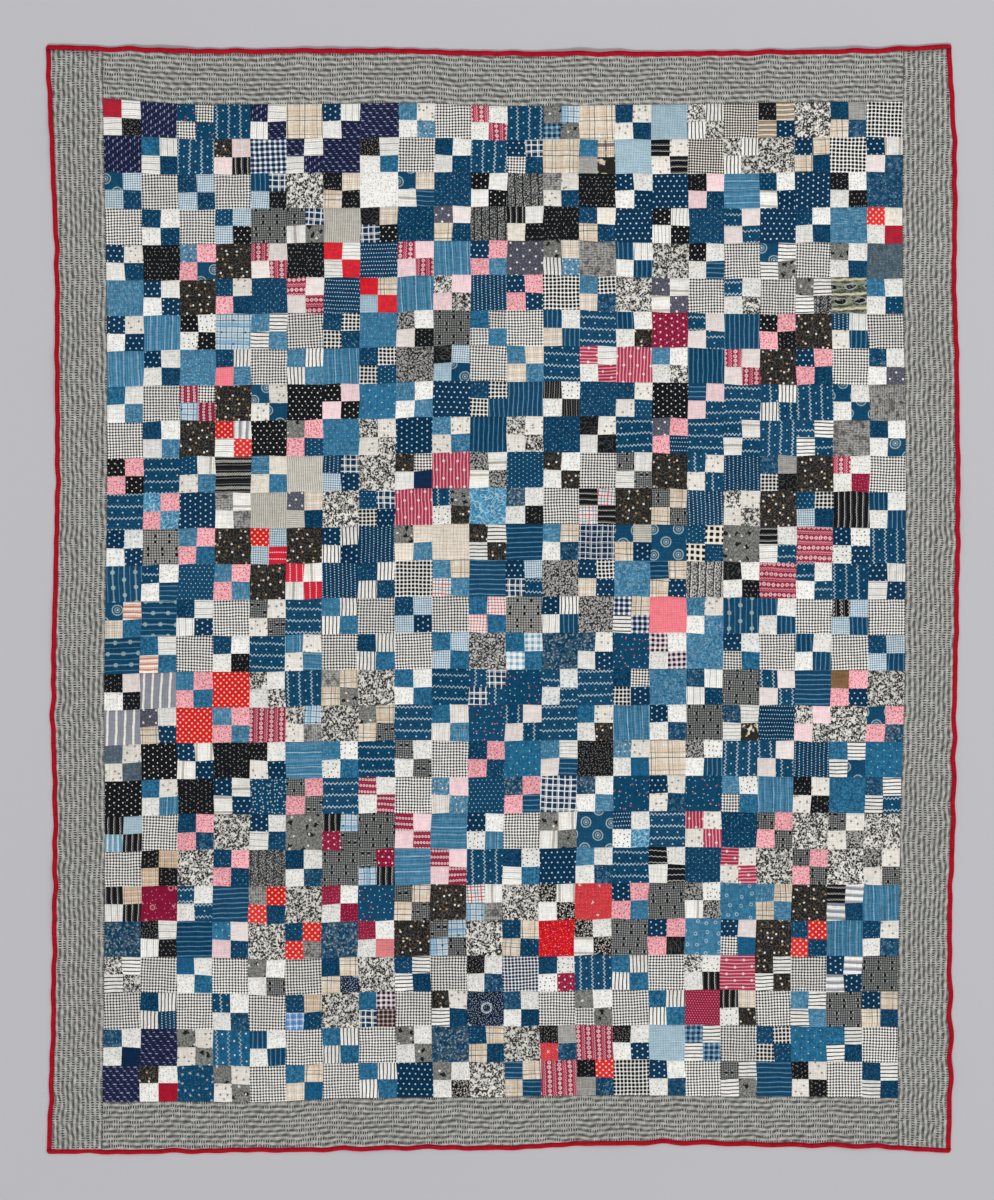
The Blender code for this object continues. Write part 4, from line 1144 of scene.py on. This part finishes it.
def fold_of(stretch, runs):
    """The bake map's band that a stretch of a long strip lies in, and where its two ends lie there."""
    count = len(runs) - 1
    fold = stretch * len(FOLD_BANDS) // count
    first, last = (-(-count * k // len(FOLD_BANDS)) for k in (fold, fold + 1))
    ends = [share_of(runs[k], runs[first], runs[last]) for k in (stretch, stretch + 1)]
    return FOLD_BANDS[fold], ends


def gather_at(run, across):
    """How the cloth gathers at this length of a border's seam, from about -1.6 to 1.6."""
    return sum(share * noise.noise(Vector((run / length, across * turns, depth)))
               for length, turns, depth, share in GATHERS)


def make_border(side, crossings, print_cloth, backing):
    """One border strip: a low puff across it, gathers along its seam and the ripples of its edge."""
    seam, outer = (finer(line, BORDER_STEPS) for line in strip_lines(side, crossings))
    runs = runs_along([near.lerp(far, 0.5) for near, far in zip(seam, outer)])
    # The mesh lines lie closer together towards both seams.
    shares = [0.5 - 0.5 * math.cos(math.pi * k / BORDER_LINES) for k in range(BORDER_LINES + 1)]
    axis = axis_of(side)
    points, lower, places = [], [], []
    for near, far, run in zip(seam, outer, runs):
        width = (far - near).length
        for across in shares:
            waver = edge_waver(side, near.lerp(far, across)[axis]) * across ** 2
            spot = near.lerp(far, across) + OUTWARDS[side] * waver
            lift = ripple_lift(side, share_along(OUTLINE, side, spot[axis]), across)
            full = rise_from(across * width) * rise_from((1 - across) * width + BINDING_HOLD)
            rise = BORDER_PUFF * full * (1 + GATHER * gather_at(run, across))
            points.append((*spot, lift + SEAM_THICKNESS + rise))
            lower.append((*spot, lift))
            places.append((run, across * width))

    # The order of a face's corners that turns it outwards differs between the sides.
    order = -1 if side in ("top", "right") else 1
    wide, tall, count = len(shares), len(seam), len(points)
    faces, slots, cuts, spread = [], [], [], []
    for b in range(tall - 1):
        band, ends = fold_of(b, runs)
        for a in range(wide - 1):
            corner = b * wide + a
            upper = (corner, corner + wide, corner + wide + 1, corner + 1)[::order]
            faces += [upper, tuple(k + count for k in upper[::-1])]
            slots += [0, 1]
            cuts += [places[k] for k in (*upper, *upper[::-1])]
            spread += [laid_out(ends[k // wide - b], shares[k % wide], band) for k in upper]
            spread += [laid_out(runs[k // wide] / runs[-1], shares[k % wide], UNDER_BAND)
                       for k in upper[::-1]]
    rim = rim_of(wide, tall)
    for k, corners in enumerate(rim_shares(len(rim))):
        near, far = rim[k], rim[(k + 1) % len(rim)]
        wall = (near, far, far + count, near + count)[::order]
        faces.append(wall)
        slots.append(0)
        cuts += [places[corner % count] for corner in wall]
        spread += [laid_out(*share, WALL_BAND) for share in corners[::order]]
    materials = [print_cloth, backing]
    fades = [0.0] * len(faces)
    piece = new_piece(f"border_{side}_strip", points + lower, faces, materials, slots, cuts, spread, fades)
    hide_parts(f"border_{side}")
    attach(piece, "root")
    return piece


def binding_section(share):
    """A point of the binding's rounded section, from its inner lower corner outwards and round."""
    angle = math.tau * share - SECTION_START
    return [0.5 + 0.5 * math.copysign(abs(turn) ** roundness, turn)
            for turn, roundness in zip((math.cos(angle), math.sin(angle)), SECTION_ROUNDNESS)]


def make_binding(side, crossings, cloth):
    """One strip of binding: cotton folded over the edge, a little uneven where it was eased on."""
    axis = axis_of(side)
    inner = [edge_beside(side, point, BINDING_WIDTH) for point in strip_lines(side, crossings)[1]]
    if axis == 0:
        for inset in (BINDING_WIDTH, 0):
            inner.insert(0, edge_beside(side, edge_beside("left", inner[0], inset), BINDING_WIDTH))
            inner.append(edge_beside(side, edge_beside("right", inner[-1], inset), BINDING_WIDTH))
    inner = finer(inner, BORDER_STEPS)
    runs = runs_along(inner)
    sections = [k / BINDING_SIDES for k in range(BINDING_SIDES)]
    points, places = [], []
    for point, run in zip(inner, runs):
        from_end = min((point - inner[0]).length, (point - inner[-1]).length)
        short = max(CORNER_ROUND - from_end, 0) if axis == 0 else 0
        eased = CORNER_ROUND - math.sqrt(CORNER_ROUND ** 2 - short ** 2)
        point = point + OUTWARDS[side] * edge_waver(side, point[axis])
        rim = point + OUTWARDS[side] * (BINDING_WIDTH - eased)
        lift = ripple_lift(side, share_along(OUTLINE, side, point[axis]), 1.0)
        swell = 1 + SWELL * noise.noise(Vector((run / SWELL_LENGTH, *SWELL_START)))
        for share in sections:
            across, height = binding_section(share)
            points.append((*point.lerp(rim, across), lift + height * BINDING_THICKNESS * swell))
            places.append((run, share * 2 * BINDING_WIDTH))

    faces, spread = [], []
    for b in range(len(inner) - 1):
        band, (near, far) = fold_of(b, runs)
        row = b * BINDING_SIDES
        for k in range(BINDING_SIDES):
            after = (k + 1) % BINDING_SIDES
            faces.append((row + k, row + after, row + after + BINDING_SIDES, row + k + BINDING_SIDES))
            low, high = k / BINDING_SIDES, (k + 1) / BINDING_SIDES
            corners = [(near, low), (near, high), (far, high), (far, low)]
            spread.append([laid_out(*corner, band) for corner in corners])
    faces.append(tuple(range(BINDING_SIDES))[::-1])
    faces.append(tuple(range(len(points) - BINDING_SIDES, len(points))))
    angles = [math.tau * share for share in sections]
    for x, y in END_MIDDLES:
        spread.append([(x + END_RADIUS * math.cos(q), y + END_RADIUS * math.sin(q)) for q in angles])
    order = -1 if side in ("bottom", "left") else 1
    faces = [face[::order] for face in faces]
    spread = [place for corners in spread for place in corners[::order]]
    cuts = [places[k] for face in faces for k in face]
    slots, fades = [0] * len(faces), [0.0] * len(faces)
    piece = new_piece(f"binding_{side}_strip", points, faces, [cloth], slots, cuts, spread, fades)
    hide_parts(f"binding_{side}")
    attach(piece, "root")
    return piece


# ---- Floor, light and camera ----
def make_floor():
    """A wide sheet of plain paper just under the quilt."""
    material = bpy.data.materials.new("floor_paper")
    material.use_nodes = True
    nodes = material.node_tree.nodes
    shader = nodes["Principled BSDF"]
    grain = nodes.new("ShaderNodeTexNoise")
    grain.inputs["Scale"].default_value = FLOOR_GRAIN
    tone = nodes.new("ShaderNodeMixRGB")
    tone.inputs["Color1"].default_value, tone.inputs["Color2"].default_value = FLOOR_TONES
    material.node_tree.links.new(grain.outputs["Fac"], tone.inputs["Fac"])
    material.node_tree.links.new(tone.outputs["Color"], shader.inputs["Base Color"])
    for name, share in FLOOR_SURFACE.items():
        shader.inputs[name].default_value = share
    half = FLOOR_SIDE / 2
    mesh = bpy.data.meshes.new("studio_floor")
    corners = [(-half, -half, 0), (half, -half, 0), (half, half, 0), (-half, half, 0)]
    mesh.from_pydata(corners, [], [(0, 1, 2, 3)])
    mesh.materials.append(material)
    floor = bpy.data.objects.new("studio_floor", mesh)
    floor.location.z = -FLOOR_CLEARANCE
    bpy.context.scene.collection.objects.link(floor)
    return floor


def add_light(lamp, place):
    """Places a lamp so that it faces the middle of the quilt."""
    light = bpy.data.objects.new(lamp.name, lamp)
    light.location = place
    light.rotation_mode = "QUATERNION"
    light.rotation_quaternion = (-Vector(place)).to_track_quat("-Z", "Y")
    light.visible_camera = False
    bpy.context.scene.collection.objects.link(light)


def light_studio():
    """A bright even studio. The key light comes from below the picture, so shade falls upwards."""
    scene = bpy.context.scene
    scene.view_settings.view_transform = "Standard"
    scene.world = bpy.data.worlds.new("studio")
    scene.world.use_nodes = True
    background = scene.world.node_tree.nodes["Background"]
    background.inputs["Color"].default_value = SKY_COLOUR
    background.inputs["Strength"].default_value = SKY_STRENGTH
    key = bpy.data.lights.new("key_light", "SUN")
    place, key.energy, across = KEY_LIGHT
    key.angle = math.radians(across)
    add_light(key, place)
    fill = bpy.data.lights.new("fill_light", "AREA")
    fill.shape = "SQUARE"
    place, fill.size, fill.energy = FILL_LIGHT
    add_light(fill, place)


def place_camera():
    """Straight above the quilt, framed as a photograph of it taken face on."""
    lens = bpy.data.cameras.new("camera")
    lens.lens = LENS
    lens.sensor_width = SENSOR
    lens.clip_end = FARTHEST_SEEN
    camera = bpy.data.objects.new("camera", lens)
    height = FRAME_HEIGHT * LENS / SENSOR
    camera.location = (FRAME_MIDDLE[0], FRAME_MIDDLE[1], height + SEAM_THICKNESS)
    bpy.context.scene.collection.objects.link(camera)
    bpy.context.scene.camera = camera


# ---- Making the scene ----
def main():
    """Makes the studio and the quilt."""
    place_camera()
    light_studio()
    floor = make_floor()
    crossings = seam_crossings()
    cottons = {code: make_cloth(*row) for code, row in CLOTHS.items()}
    backing = make_cloth("backing_plain_cotton", "cream")
    for piece in make_patchwork(crossings, cottons, backing):
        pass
    border_print, binding_red = border_cloth(), binding_cloth()
    for side in OUTLINE:
        border = make_border(side, crossings, border_print, backing)
        binding = make_binding(side, crossings, binding_red)
        seam, outer = strip_lines(side, crossings)


main()
